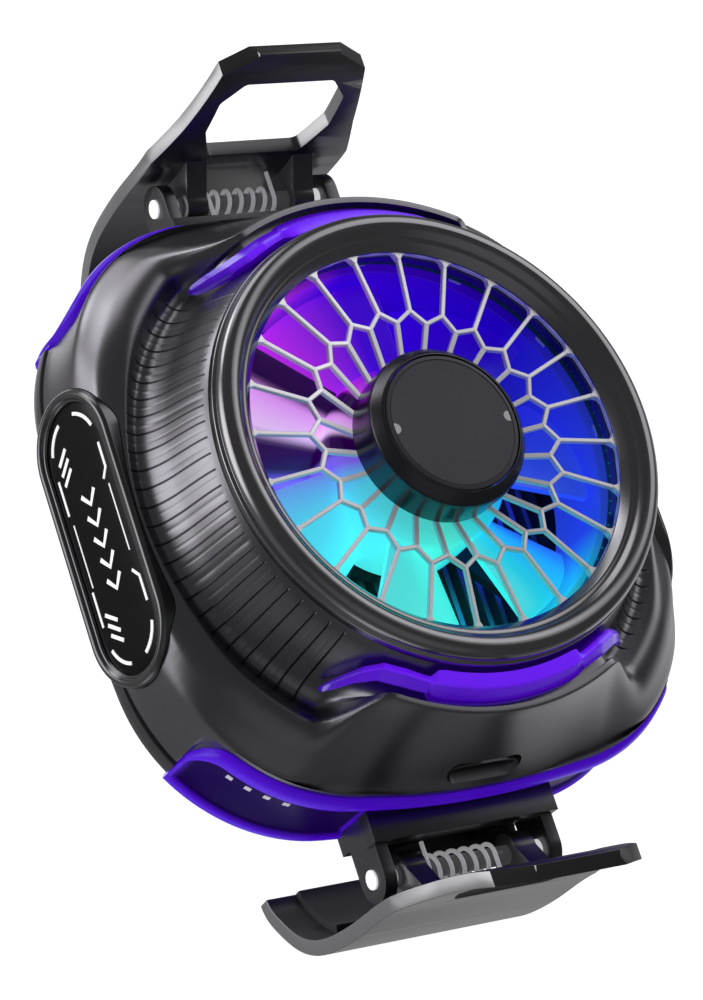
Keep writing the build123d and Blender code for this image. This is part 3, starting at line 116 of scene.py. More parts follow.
# Lit slots in the windows' corners: their section is (out, up) from the sunk panel
VENTS = 4
VENT_STEP_DEG = 6.4
VENT_SHIFT_DEG = 10.0
VENT_Z = 13.5
VENT_HALF = 0.36
VENT_SECTION = [(-0.4, -0.34), (0.02, -0.34), (0.06, -0.28), (0.06, 0.28), (0.02, 0.34), (-0.4, 0.34)]

# Hard panels low on the sides: (how far in, height)
CHEEK_GAP = 0.34
CHEEK_END_DEG = 0.15
CHEEK_ROWS = [(0.25, 9.0), (0.3, 8.3), (0.55, 7.3), (1.1, 6.35), (1.9, 5.6), (2.2, 5.5)]

# Grooves that fan out over the neck's left and right sides
GROOVE_STEP_DEG = 4.0
GROOVE_FAN_DEG = 96.0
GROOVE_HALF = 0.13
GROOVE_DEPTH = 0.2
GROOVE_TOP_Z = 29.7
GROOVE_TOP_FADE = 0.25
GROOVE_END_R = 31.2
GROOVE_END_FADE = 0.5
GROOVE_MID_R = 28.0
SHORT_GROOVE_SHARE = 0.16

# Steps between the columns of the case's meshes, plain, at the windows' ends, and the least
COLUMN_DEG = 1.2
FINE_COLUMN_DEG = 0.4
CLOSEST_DEG = 0.12

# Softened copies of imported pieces: the angle that counts as an edge, and the one that counts as flat
EDGE_DEG = 32.0
FLAT_DEG = 0.6

# Badge plane on each side, its frame's section as (how far in, out of the plane, rounding), and its plate's
# rings as (share of the plate's outline, out of the plane)
BADGE_X = 32.66
BADGE_Z = 14.6
BADGE_TILT_DEG = 9.0
BADGE_LONG = 33.0
BADGE_TALL = 13.6
BADGE_ROOM = 0.16
BADGE_POCKET = (-1.5, 3.0)
BEZEL_CORNERS = [
    (0.0, -1.38, 0), (0.0, 0.1, 0.1), (0.25, 0.5, 0.25), (0.85, 0.52, 0.3),
    (1.1, 0.12, 0.1), (1.25, 0.1, 0.05), (1.38, -0.1, 0.03), (1.38, -1.38, 0),
]
PLATE_IN = 1.425
PLATE_ROWS = [(1.0, -0.9), (1.0, -0.22), (0.975, -0.12), (0.9, -0.08), (0.6, -0.02), (0.25, 0.0)]
MARK_HEIGHTS = (-0.14, 0.012)

# Turned pieces round the intake and on the hub, as (radius, height, rounding)
RIM_CORNERS = [
    (22.9, 30.42, 0), (25.6, 30.42, 0.1), (26.0, 30.75, 0.1), (26.0, 31.75, 0.15), (25.62, 31.95, 0.08),
    (25.62, 32.15, 0.08), (25.8, 32.25, 0.06), (25.75, 32.95, 0.45), (25.0, 33.75, 0.7), (23.75, 33.6, 0.6),
    (23.1, 32.85, 0.3), (22.55, 32.72, 0.2), (21.72, 31.75, 0.06), (21.72, 31.56, 0.03), (22.9, 31.56, 0),
]
HUB_COVER_CORNERS = [
    (7.9, 33.2, 0), (8.35, 29.6, 0), (9.1, 29.6, 0.1), (9.2, 33.35, 0.3),
    (9.1, 33.8, 0.2), (8.15, 34.88, 0.15), (7.92, 34.95, 0.06), (7.86, 34.3, 0),
]
HUB_DISC_CORNERS = [
    (0.0, 34.3, 0), (7.8, 34.3, 0), (7.8, 34.88, 0.12), (7.35, 34.93, 0),
    (7.3, 34.86, 0), (7.22, 34.86, 0), (7.17, 34.92, 0), (0.0, 34.92, 0),
]

# Rivets of the hub's plate, their rings as (radius, height)
RIVET_X = 7.0
RIVET_EDGE_R = 7.12
RIVET_SIDES = 32
RIVET_ROWS = [(0.62, 34.6), (0.62, 34.9), (0.56, 34.945)]

# Grille: its cells, its ring, and the foot of an inner spoke as (radius, angle, height)
CELLS = 24
CELL_STEP_DEG = 360 / CELLS
GRILLE_RING_R = 21.85
GRILLE_RING_OUT_R = 22.75
GRILLE_TOP_Z = 31.5
NODE_R = 14.85
VERTEX_R = 13.6
VERTEX_DROP = 0.15
SPOKE_FOOT = (8.9, 0, 29.6)
SPOKE_HALF = 0.225
SPOKE_TALL = 0.55

# Light bars: the bar's section as (radius, height, rounding), and the tail's line by its angle
BAR_SECTION = [
    (26.35, 30.55, 0.12), (27.8, 30.0, 0.22), (28.85, 28.5, 0.22),
    (28.85, 27.5, 0.15), (27.3, 27.5, 0.1), (26.9, 28.2, 0.1),
]
BAR_NARROW_DEG = 18.0
BAR_TO_TAIL_DEG = 18.8
TAIL_TURNS = [19.5, 20.6, 26.0, 31.0, 34.5, 37.0, 38.8, 39.4]
TAIL_RADII = [27.6, 27.55, 27.5, 27.55, 28.05, 28.75, 29.3, 29.45]
TAIL_HEIGHTS = [28.8, 28.85, 28.9, 28.55, 27.1, 25.3, 23.9, 23.55]
TAIL_SIZES = [0.98, 0.95, 1.05, 1.05, 0.98, 0.88, 0.62, 0.18]

# Clips: their pins, the webs behind the springs and the springs
PIN_Y = 40.0
PIN_Z = 9.7
WEB_SIZE = (20.0, 5.2, 1.0)
WEB_Y = 37.2
WEB_Z = 6.0
SPRING_WIRE_R = 0.25
SPRING_MEAN_R = 1.5
SPRING_TURNS = 6
SPRING_LEG_TURNS = 0.3
SPRING_END_TURNS = 0.5
SPRING_TAIL = 0.3

# Socket slot in the lower brow: width and height deep inside and past its mouth, and how far out these are
SLOT_Z = 19.7
SLOT_INSIDE = (8.2, 1.7)
SLOT_MOUTH = (9.8, 3.2)
SLOT_DEPTHS = (28.0, 36.0)

# Camera solved from the photograph
CAMERA_PLACE = (-0.20544, -0.12233, 0.32994)
CAMERA_RIGHT = (0.85035, -0.30130, 0.43143)
CAMERA_UP = (0.10615, 0.90122, 0.42015)
CAMERA_BACK = (-0.51541, -0.31148, 0.79833)
CAMERA_LENS = 131.313

# Floor, and the room's soft boxes: bearing and height in degrees, half width in degrees, brightness
FLOOR_Z = -12.2
FLOOR_HALF = 3.0
STUDIO_GREY = 0.098
STUDIO_LOW_GREY = 0.14
SOFT_BOXES = [
    (156, -8, 24, 2.5),
    (116, -1, 12, 3.2),
    (36, 32, 24, 1.25),
    (98, 8, 18, 1.6),
    (255, -38, 17, 0.65),
    (325, -52, 24, 0.4),
    (355, -22, 24, 0.55),
    (72, -52, 18, 1.4),
    (255, 40, 30, 0.12),
]

# Colours by degrees round the axis, anticlockwise from the right: the fan's painted light, with dark bands, and
# the grille's painted highlight
LIGHT_STOPS = [
    (-180, (0.25, 0.15, 0.95)),
    (-172, (0.15, 0.45, 0.95)),
    (-160, (0.10, 0.75, 0.95)),
    (-90, (0.10, 0.88, 0.72)),
    (-60, (0.02, 0.72, 0.85)),
    (-42, (0.02, 0.50, 0.90)),
    (-28, (0.03, 0.10, 0.85)),
    (40, (0.02, 0.0, 0.55)),
    (95, (0.06, 0.0, 0.70)),
    (112, (0.35, 0.02, 0.80)),
    (125, (0.65, 0.03, 0.90)),
    # These darker stops paint dark bands across the glowing blades and duct
    (129, (0.03, 0.0, 0.09)),
    (143, (0.02, 0.0, 0.06)),
    (147, (0.85, 0.35, 1.0)),
    (158, (0.95, 0.65, 1.0)),
    (162, (0.03, 0.0, 0.08)),
    (171, (0.02, 0.0, 0.06)),
    (175, (0.25, 0.15, 0.90)),
    (180, (0.25, 0.15, 0.95)),
]
# Painted highlight of the grille: its glow colour by angle, brightest at the upper left
GRILLE_HIGHLIGHT_STOPS = [
    (-180, (0.55, 0.54, 0.58)),
    (-110, (0.16, 0.18, 0.19)),
    (-50, (0.16, 0.18, 0.20)),
    (0, (0.40, 0.40, 0.44)),
    (60, (0.50, 0.49, 0.54)),
    (110, (0.80, 0.79, 0.84)),
    (150, (0.85, 0.84, 0.88)),
    (180, (0.55, 0.54, 0.58)),
]


def smoothstep(value):
    """An easing from 0 to 1."""
    value = np.clip(value, 0.0, 1.0)
    return value * value * (3 - 2 * value)


def outline_points(inset):
    """Points of the case's outline, moved inward by inset, once round."""
    end = CASE_HALF - SIDE_BOW
    side_radius = (SIDE_RUN**2 + SIDE_BOW**2) / (2 * SIDE_BOW)
    lean = math.asin(SIDE_RUN / side_radius)
    corner_radius = (end - SIDE_RUN) / math.sqrt(2) / math.sin(math.pi / 4 - lean)
    centre = end - corner_radius * math.cos(lean)
    side = np.linspace(0, lean, 16, endpoint=False)
    corner = np.linspace(lean, math.pi / 2 - lean, 60)
    right_x = CASE_HALF - side_radius + (side_radius - inset) * np.cos(side) - SIDE_NARROW
    right_y = (side_radius - inset) * np.sin(side)
    corner_x = centre - SIDE_NARROW + (corner_radius - inset) * np.cos(corner)
    corner_y = centre + (corner_radius - inset) * np.sin(corner)
    top_x = (right_y * (SIDE_RUN - SIDE_NARROW) / SIDE_RUN)[::-1]
    top_y = (right_x + SIDE_NARROW)[::-1]
    quarter_x = np.concatenate([right_x, corner_x, top_x])
    quarter_y = np.concatenate([right_y, corner_y, top_y])
    x = np.concatenate([quarter_x, -quarter_x[::-1], -quarter_x, quarter_x[::-1]])
    y = np.concatenate([quarter_y, quarter_y[::-1], -quarter_y, -quarter_y[::-1]])
    return x, y


def outline_radius(degrees, inset=0.0):
    """Distance from the axis to the case's outline at each angle."""
    x, y = outline_points(inset)
    turn = np.degrees(np.arctan2(y, x)) % 360
    order = np.argsort(turn, kind="stable")
    return np.interp(np.asarray(degrees, float) % 360, turn[order], np.hypot(x, y)[order], period=360)


def from_side(degrees):
    """Angle away from the nearer of the left and right middle lines."""
    return 90 - np.abs(np.asarray(degrees, float) % 180 - 90)


def window_top(degrees):
    """Height of the windows' upper edge, and of the front case's foot above them and above the cheeks."""
    corner = smoothstep((outline_radius(degrees) - WINDOW_CORNER_R) / WINDOW_CORNER_FADE)
    rise = np.clip((from_side(degrees) - WINDOW_START_DEG) / WINDOW_RISE_DEG, 0, 1)
    share = np.sqrt(1 - (1 - rise) ** 2)
    return CHEEK_TOP_Z + (WINDOW_HIGH_Z + WINDOW_CORNER_RISE * corner - CHEEK_TOP_Z) * share


def front_radius(degrees):
    """The front case's outline: it stands back from the tray, most at the corners."""
    inner = outline_radius(degrees, FRONT_INSET)
    return inner - FRONT_CORNER_IN * smoothstep((inner - FRONT_CORNER_R) / FRONT_CORNER_FADE)


def spline_weights(controls, per_span):
    """Weights that turn a clamped row of controls into a smooth quadratic curve."""
    spans = controls - 2
    rows = []
    for span in range(spans):
        for step in range(per_span + (span == spans - 1)):
            t = step / per_span
            weights = np.zeros(controls)
            weights[span] = 0.5 * (1 - t) ** 2
            weights[span + 1] = 0.5 + t * (1 - t)
            weights[span + 2] = 0.5 * t * t
            rows.append(weights)
    return np.array(rows)


def around(radius, height, degrees):
    """Points from radii, heights and angles in degrees."""
    turn = np.radians(degrees)
    return np.stack([radius * np.cos(turn), radius * np.sin(turn), height + 0 * radius], axis=-1)


def polar(radius, degrees, height):
    """A point from its radius, angle and height."""
    turn = math.radians(degrees)
    return (radius * math.cos(turn), radius * math.sin(turn), height)


def rounded_profile(corners, steps=5):
    """A closed profile from (radius, height, rounding) corners."""
    points = []
    count = len(corners)
    for i, (r, z, size) in enumerate(corners):
        here = np.array((r, z))
        if size == 0:
            points.append((r, z))
            continue
        before = np.array(corners[i - 1][:2]) - here
        after = np.array(corners[(i + 1) % count][:2]) - here
        start = here + before / np.linalg.norm(before) * size
        stop = here + after / np.linalg.norm(after) * size
        for step in range(steps + 1):
            t = step / steps
            points.append(tuple((1 - t) ** 2 * start + 2 * t * (1 - t) * here + t * t * stop))
    return points


def make_object(name, points, faces):
    """A mesh object from points in millimetres."""
    mesh = bpy.data.meshes.new(name)
    mesh.from_pydata([tuple(p) for p in np.asarray(points, float) * MM], [], faces)
    mesh.validate()
    mesh.update()
    piece = bpy.data.objects.new(name, mesh)
    bpy.context.scene.collection.objects.link(piece)
    return piece


def grid_faces(rows, columns, round_columns=True, round_rows=False):
    """Quads over a grid of points, joined end to end where it is round."""
    faces = []
    for i in range(rows if round_rows else rows - 1):
        here = i * columns
        after = (i + 1) % rows * columns
        for j in range(columns if round_columns else columns - 1):
            beside = (j + 1) % columns
            faces.append((here + j, here + beside, after + beside, after + j))
    return faces


def ring(rows):
    """Points and faces of a closed shape made of rings, the last one joined to the first."""
    return np.concatenate(rows), grid_faces(len(rows), len(rows[0]), True, True)


def tube(rows):
    """Points and faces of a closed shape made of rings, with the first and the last one filled."""
    count = len(rows[0])
    last = (len(rows) - 1) * count
    faces = grid_faces(len(rows), count)
    faces += [tuple(range(count)), tuple(reversed(range(last, last + count)))]
    return np.concatenate(rows), faces


def band(rows):
    """Points and faces of a closed shape whose rows go round its section, with its two ends filled."""
    count = len(rows[0])
    starts = [i * count for i in range(len(rows))]
    faces = grid_faces(len(rows), count, False, True)
    faces += [tuple(starts), tuple(i + count - 1 for i in reversed(starts))]
    return np.concatenate(rows), faces


def prism_faces(count):
    """Faces of a shape between two outlines of the same number of points."""
    faces = [tuple(reversed(range(count))), tuple(range(count, 2 * count))]
    return faces + [(i, (i + 1) % count, count + (i + 1) % count, count + i) for i in range(count)]


def joined(parts):
    """Points and faces of several shapes as one."""
    points = []
    faces = []
    for part_points, part_faces in parts:
        offset = len(points)
        points += [tuple(p) for p in part_points]
        faces += [tuple(offset + i for i in face) for face in part_faces]
    return points, faces


def smooth(piece, sharp_deg):
    """Shades a piece smooth between sharp edges."""
    piece.data.polygons.foreach_set("use_smooth", [True] * len(piece.data.polygons))
    piece.data.set_sharp_from_angle(angle=math.radians(sharp_deg))
    return piece


def tidy_mesh(piece, sharp_deg=35.0):
    """Merges doubled points, turns faces outward and shades the piece smooth between sharp edges."""
    work = bmesh.new()
    work.from_mesh(piece.data)
    bmesh.ops.remove_doubles(work, verts=work.verts, dist=1e-6)
    bmesh.ops.recalc_face_normals(work, faces=work.faces)
    work.to_mesh(piece.data)
    work.free()
    return smooth(piece, sharp_deg)


def lathe(name, corners, segments, sharp_deg):
    """A closed profile of (radius, height, rounding) corners turned about the axis."""
    degrees = np.arange(segments) * 360 / segments
    rows = [around(np.full(segments, r), z, degrees) for r, z in rounded_profile(corners)]
    return tidy_mesh(make_object(name, *ring(rows)), sharp_deg)


def finish_piece(piece, material, body, slot, *replaced):
    """Gives a piece its material and body, and hides the CAD nodes that it stands for; slot is not used."""
    piece.data.materials.clear()
    piece.data.materials.append(material)
    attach(piece, body)
    if replaced:
        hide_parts(*replaced)
    return piece


def applied(piece):
    """The same piece with its modifiers applied to its mesh."""
    bpy.context.view_layer.update()
    graph = bpy.context.evaluated_depsgraph_get()
    mesh = bpy.data.meshes.new_from_object(piece.evaluated_get(graph))
    piece.modifiers.clear()
    piece.data = mesh
    return piece


def bevelled_copy(node, name, width):
    """A copy of a CAD node with softened edges."""
    piece = bpy.data.objects.new(name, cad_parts[node].data.copy())
    bpy.context.scene.collection.objects.link(piece)
    work = bmesh.new()
    work.from_mesh(piece.data)
    bmesh.ops.remove_doubles(work, verts=work.verts, dist=2e-6)
    flat = math.radians(FLAT_DEG)
    bmesh.ops.dissolve_limit(work, angle_limit=flat, verts=work.verts, edges=work.edges)
    work.to_mesh(piece.data)
    work.free()
    bevel = piece.modifiers.new("soft edges", "BEVEL")
    bevel.width = width * MM
    bevel.segments = 3
    bevel.limit_method = "ANGLE"
    bevel.angle_limit = math.radians(EDGE_DEG)
    bevel.use_clamp_overlap = True
    bevel.miter_outer = "MITER_ARC"
    return smooth(applied(piece), 38)


def cut(piece, cutters, solver="MANIFOLD"):
    """Cuts closed shapes out of a piece and deletes them."""
    for cutter in cutters:
        tidy_mesh(cutter)
        knife = piece.modifiers.new("cut", "BOOLEAN")
        knife.operation = "DIFFERENCE"
        knife.solver = solver
        knife.object = cutter
    applied(piece)
    for cutter in cutters:
        bpy.data.objects.remove(cutter)


def prism(name, near, low, high, place, far=None):
    """A closed shape from an outline at one distance along place's third axis to one at another."""
    ends = [place @ Vector((u, v, low)) for u, v in near]
    ends += [place @ Vector((u, v, high)) for u, v in far or near]
    return make_object(name, ends, prism_faces(len(near)))


def obround(long, tall, steps=32):
    """Outline of a plate with round ends."""
    half = (long - tall) / 2
    right = np.linspace(-math.pi / 2, math.pi / 2, steps)
    points = [(half + tall / 2 * math.cos(a), tall / 2 * math.sin(a)) for a in right]
    return points + [(-u, -v) for u, v in points]


def badge_place(side):
    """Maps a badge's own (along, up, out) to the object's frame; side is -1 left or +1 right."""
    tilt = math.radians(BADGE_TILT_DEG)
    out = Vector((side * math.cos(tilt), 0, math.sin(tilt)))
    along = Vector((0, side, 0))
    up = out.cross(along)
    place = Matrix((along, up, out)).transposed().to_4x4()
    return Matrix.Translation((side * BADGE_X, 0, BADGE_Z)) @ place


def slot_place():
    """Maps the socket slot's own (across, up, out) to the object's frame."""
    place = Matrix(((1, 0, 0), (0, 0, 1), (0, -1, 0))).transposed().to_4x4()
    return Matrix.Translation((0, 0, SLOT_Z)) @ place


def badge_pocket(side):
    """The shape that makes room for a badge and its frame."""
    outline = obround(BADGE_LONG + BADGE_ROOM, BADGE_TALL + BADGE_ROOM)
    return prism("pocket", outline, *BADGE_POCKET, badge_place(side))


def new_material(name):
    """A material with its shader and output ready to use."""
    material = bpy.data.materials.new(name)
    material.use_nodes = True
    nodes = material.node_tree.nodes
    links = material.node_tree.links
    return material, nodes, links, nodes["Principled BSDF"]


def object_noise(nodes, links, scale, detail=4.0):
    """Noise on object coordinates."""
    place = nodes.new("ShaderNodeTexCoord")
    noise = nodes.new("ShaderNodeTexNoise")
    noise.inputs["Scale"].default_value = scale
    noise.inputs["Detail"].default_value = detail
    links.new(place.outputs["Object"], noise.inputs["Vector"])
    return noise


def noise_colour(nodes, links, low, high, scale=60.0):
    """A colour that drifts between two shades over a piece."""
    ramp = nodes.new("ShaderNodeValToRGB")
    links.new(object_noise(nodes, links, scale).outputs["Fac"], ramp.inputs["Fac"])
    for element, position, colour in zip(ramp.color_ramp.elements, (0.3, 0.7), (low, high)):
        element.position = position
        element.color = (*colour, 1)
    return ramp.outputs["Color"]


def ranged(nodes, links, value, start, stop, low=0.0, high=1.0):
    """A value carried from one range into another."""
    level = nodes.new("ShaderNodeMapRange")
    for key, number in (("From Min", start), ("From Max", stop), ("To Min", low), ("To Max", high)):
        level.inputs[key].default_value = number
    links.new(value, level.inputs["Value"])
    return level.outputs["Result"]


def worked_out(nodes, links, operation, *values):
    """The result of an operation on sockets and numbers."""
    node = nodes.new("ShaderNodeMath")
    node.operation = operation
    for socket, value in zip(node.inputs, values):
        if isinstance(value, float):
            socket.default_value = value
        else:
            links.new(value, socket)
    return node.outputs["Value"]


def part_of(nodes, links, vector, axis):
    """One axis of a vector."""
    parts = nodes.new("ShaderNodeSeparateXYZ")
    links.new(vector, parts.inputs["Vector"])
    return parts.outputs[axis]


def between(nodes, links, share, low, high):
    """A colour between two, each of them a colour or a socket."""
    both = nodes.new("ShaderNodeMix")
    both.data_type = "RGBA"
    links.new(share, both.inputs["Factor"])
    for key, colour in (("A", low), ("B", high)):
        if isinstance(colour, tuple):
            both.inputs[key].default_value = (*colour, 1)
        else:
            links.new(colour, both.inputs[key])
    return both.outputs["Result"]


def shade(links, shader, colour, roughness, glow=0.0, metal=0.0, coat=0.0, coat_roughness=0.12):
    """Gives a shader its colour, which also glows where a glow is given, and its plain values."""
    links.new(colour, shader.inputs["Base Color"])
    if glow:
        links.new(colour, shader.inputs["Emission Color"])
        shader.inputs["Emission Strength"].default_value = glow
    shader.inputs["Roughness"].default_value = roughness
    shader.inputs["Metallic"].default_value = metal
    shader.inputs["Coat Weight"].default_value = coat
    shader.inputs["Coat Roughness"].default_value = coat_roughness


def plastic(name, low, high, roughness, spread=0.05, grain=2600.0, bump=0.02, metal=0.0):
    """Moulded plastic or paint: slight shade drift, roughness drift and a fine grain."""
    material, nodes, links, shader = new_material(name)
    shade(links, shader, noise_colour(nodes, links, low, high, 45.0), roughness, metal=metal)
    wear = object_noise(nodes, links, 160.0).outputs["Fac"]
    level = ranged(nodes, links, wear, 0.0, 1.0, roughness - spread, roughness + spread)
    links.new(level, shader.inputs["Roughness"])
    fine = object_noise(nodes, links, grain, 2.0)
    dents = nodes.new("ShaderNodeBump")
    dents.inputs["Strength"].default_value = bump
    dents.inputs["Distance"].default_value = 0.0001
    links.new(fine.outputs["Fac"], dents.inputs["Height"])
    links.new(dents.outputs["Normal"], shader.inputs["Normal"])
    return material


def angle_colours(nodes, links, stops):
    """A colour that depends on the angle round the fan's axis."""
    place = nodes.new("ShaderNodeTexCoord").outputs["Object"]
    x = part_of(nodes, links, place, "X")
    y = part_of(nodes, links, place, "Y")
    turn = worked_out(nodes, links, "ARCTAN2", y, x)
    ramp = nodes.new("ShaderNodeValToRGB")
    links.new(ranged(nodes, links, turn, -math.pi, math.pi), ramp.inputs["Fac"])
    elements = ramp.color_ramp.elements
    while len(elements) < len(stops):
        elements.new(0.5)
    for element, (degrees, colour) in zip(elements, stops):
        element.position = (degrees + 180) / 360
        element.color = (*colour, 1)
    return ramp.outputs["Color"]


def lit_plastic(name, glow, roughness):
    """Clear plastic with painted light: it glows in the colours of the lights set round the fan, by angle."""
    material, nodes, links, shader = new_material(name)
    shade(links, shader, angle_colours(nodes, links, LIGHT_STOPS), roughness, glow)
    return material


def glowing(name, low, high, glow, roughness):
    """Tinted plastic or paint with a glow; on pieces that hold no lamp, such as the badge marks, spring wire
    and hub studs, the glow is painted light.
    """
    material, nodes, links, shader = new_material(name)
    shade(links, shader, noise_colour(nodes, links, low, high), roughness, glow, coat=0.6)
    return material


def window_plastic():
    """Tinted translucent plastic, bright on its rolled edges, with painted shade where it is sunk: dark indigo
    there, and less shine.
    """
    material, nodes, links, shader = new_material("window plastic")
    # Painted shade: the sunk attribute darkens the colour and dims the shine in the recess
    marked = nodes.new("ShaderNodeAttribute")
    marked.attribute_name = "sunk"
    sunk = marked.outputs["Fac"]
    bright = noise_colour(nodes, links, (0.045, 0.001, 0.40), (0.06, 0.003, 0.50))
    shade(links, shader, between(nodes, links, sunk, bright, (0.006, 0.0, 0.045)), 0.3, 0.75)
    sheen = worked_out(nodes, links, "MULTIPLY_ADD", sunk, -0.2, 0.24)
    links.new(sheen, shader.inputs["Specular IOR Level"])
    return material


def bar_glow_painted_facets():
    """Tinted bar plastic that glows, with a painted highlight on its upper faces and painted shade on its outer
    faces.
    """
    material, nodes, links, shader = new_material("light bar plastic")
    high = noise_colour(nodes, links, (0.10, 0.005, 0.68), (0.13, 0.010, 0.80))
    # Painted highlight and shade by facing: upward faces take the bright colour, outward faces the dark one
    facing = part_of(nodes, links, nodes.new("ShaderNodeNewGeometry").outputs["Normal"], "Z")
    share = ranged(nodes, links, facing, 0.4, 0.95)
    shade(links, shader, between(nodes, links, share, (0.026, 0.0, 0.22), high), 0.22, 1.0, coat=0.6)
    return material


def grille_silver():
    """Silver paint with a painted highlight: it glows by angle round the axis, brightest at the upper left, and
    more on its upper faces.
    """
    material, nodes, links, shader = new_material("silver grille paint with painted highlight")
    paint = noise_colour(nodes, links, (0.74, 0.73, 0.78), (0.84, 0.83, 0.88))
    shade(links, shader, paint, 0.32, metal=0.3)
    links.new(angle_colours(nodes, links, GRILLE_HIGHLIGHT_STOPS), shader.inputs["Emission Color"])
    # Painted highlight: faces that point up glow more
    facing = part_of(nodes, links, nodes.new("ShaderNodeNewGeometry").outputs["Normal"], "Z")
    links.new(ranged(nodes, links, facing, 0.3, 0.95, 0.06, 0.5), shader.inputs["Emission Strength"])
    return material


def two_shades(nodes, links, vector, start, stop, flat, edge):
    """A colour that changes with how far a vector reaches to either side."""
    reach = worked_out(nodes, links, "ABSOLUTE", part_of(nodes, links, vector, "X"))
    return between(nodes, links, ranged(nodes, links, reach, start, stop), flat, edge)


def plastic_with_painted_side_highlight(name, flat, edge):
    """Satin plastic whose side faces are painted lighter: a painted highlight."""
    material, nodes, links, shader = new_material(name)
    normal = nodes.new("ShaderNodeNewGeometry").outputs["Normal"]
    shade(links, shader, two_shades(nodes, links, normal, 0.75, 0.95, flat, edge), 0.32, metal=0.85)
    return material


def pin_nickel():
    """Nickel that is bright on a pin's ends, with painted shade where the coils cover its middle."""
    material, nodes, links, shader = new_material("nickel pins")
    place = nodes.new("ShaderNodeTexCoord").outputs["Object"]
    # Painted shade for the middle of the pin, inside the coils
    dull = (0.05, 0.05, 0.052)
    bright = (0.8, 0.8, 0.82)
    shade(links, shader, two_shades(nodes, links, place, 8.6 * MM, 8.9 * MM, dull, bright), 0.3, 0.7)
    return material


gunmetal = plastic("gunmetal paint", (0.20, 0.195, 0.215), (0.24, 0.235, 0.255), 0.30, 0.03, metal=1.0)
rim_gloss = plastic(
    "polished rim paint", (0.24, 0.235, 0.25), (0.29, 0.285, 0.30), 0.2, 0.03, bump=0.006, metal=1.0
)
silver = grille_silver()
hub_gloss = plastic("hub plastic", (0.07, 0.07, 0.08), (0.09, 0.09, 0.10), 0.25, 0.04, metal=0.9)
plate_matt = plastic(
    "hub plate", (0.08, 0.077, 0.09), (0.10, 0.096, 0.11), 0.45, 0.05, bump=0.05, metal=0.8
)
cheek_grey = plastic(
    "side panel plastic", (0.06, 0.06, 0.065), (0.075, 0.075, 0.08), 0.45, 0.05, bump=0.05, metal=0.6
)
bezel_gloss = plastic("bezel plastic", (0.12, 0.12, 0.125), (0.15, 0.15, 0.155), 0.18, 0.03, metal=0.9)
badge_black = plastic("badge plate", (0.001, 0.001, 0.001), (0.002, 0.002, 0.002), 0.2, 0.02, bump=0.004)
badge_black.node_tree.nodes["Principled BSDF"].inputs["Specular IOR Level"].default_value = 0.2
# Painted light: the printed white marks glow
badge_white = glowing("badge marks", (0.75, 0.75, 0.75), (0.83, 0.83, 0.83), 0.6, 0.5)
clip_black = plastic("clip plastic", (0.10, 0.10, 0.105), (0.125, 0.125, 0.13), 0.32, 0.05, metal=0.85)
# Lever plastic with a painted highlight on its side faces
lever_black = plastic_with_painted_side_highlight("lever plastic", (0.105, 0.105, 0.11), (0.36, 0.36, 0.37))
dark_plastic = plastic("frame plastic", (0.006, 0.006, 0.008), (0.01, 0.01, 0.013), 0.45)
silicone = plastic("silicone", (0.03, 0.03, 0.032), (0.04, 0.04, 0.042), 0.6, 0.05, bump=0.06)
pin_bright = pin_nickel()
# Painted highlight: the spring wire glows, standing in for its glints
spring_wire = glowing("spring wire", (0.6, 0.6, 0.62), (0.75, 0.75, 0.77), 0.3, 0.2)
# Painted highlight: the hub studs glow
stud_grey = glowing("hub studs", (0.35, 0.35, 0.37), (0.42, 0.42, 0.44), 0.35, 0.35)
steel = plastic("bright steel", (0.62, 0.62, 0.63), (0.72, 0.72, 0.73), 0.22, 0.05, metal=1.0)
dark_steel = plastic("blackened steel", (0.03, 0.03, 0.032), (0.05, 0.05, 0.052), 0.35, 0.05, metal=0.8)
sink_metal = plastic(
    "blasted aluminium", (0.6, 0.6, 0.62), (0.7, 0.7, 0.72), 0.45, 0.06, metal=1.0, bump=0.08
)
ceramic = plastic("ceramic", (0.75, 0.75, 0.72), (0.82, 0.82, 0.8), 0.5)
board_green = plastic("board mask", (0.01, 0.09, 0.04), (0.015, 0.12, 0.05), 0.35)
copper = plastic("enamelled copper", (0.55, 0.22, 0.1), (0.65, 0.28, 0.13), 0.3, metal=1.0)
core_steel = plastic("core steel", (0.25, 0.25, 0.26), (0.33, 0.33, 0.34), 0.4, metal=1.0)
magnet_grey = plastic("magnet", (0.05, 0.05, 0.05), (0.08, 0.08, 0.08), 0.5)
bronze = plastic("bearing bronze", (0.45, 0.28, 0.12), (0.55, 0.35, 0.15), 0.4, metal=1.0)
light_white = plastic("light cap", (0.8, 0.8, 0.85), (0.9, 0.9, 0.95), 0.3)
purple_bar = bar_glow_painted_facets()
purple_window = window_plastic()
vent_clear = glowing("vent slots", (0.35, 0.33, 0.42), (0.45, 0.43, 0.52), 0.5, 0.4)
purple_tray = glowing("tray plastic", (0.03, 0.001, 0.20), (0.04, 0.002, 0.26), 0.12, 0.3)
blade_glow = lit_plastic("blades with painted glow", 0.6, 0.25)
duct_glow = lit_plastic("duct with painted glow", 0.45, 0.3)


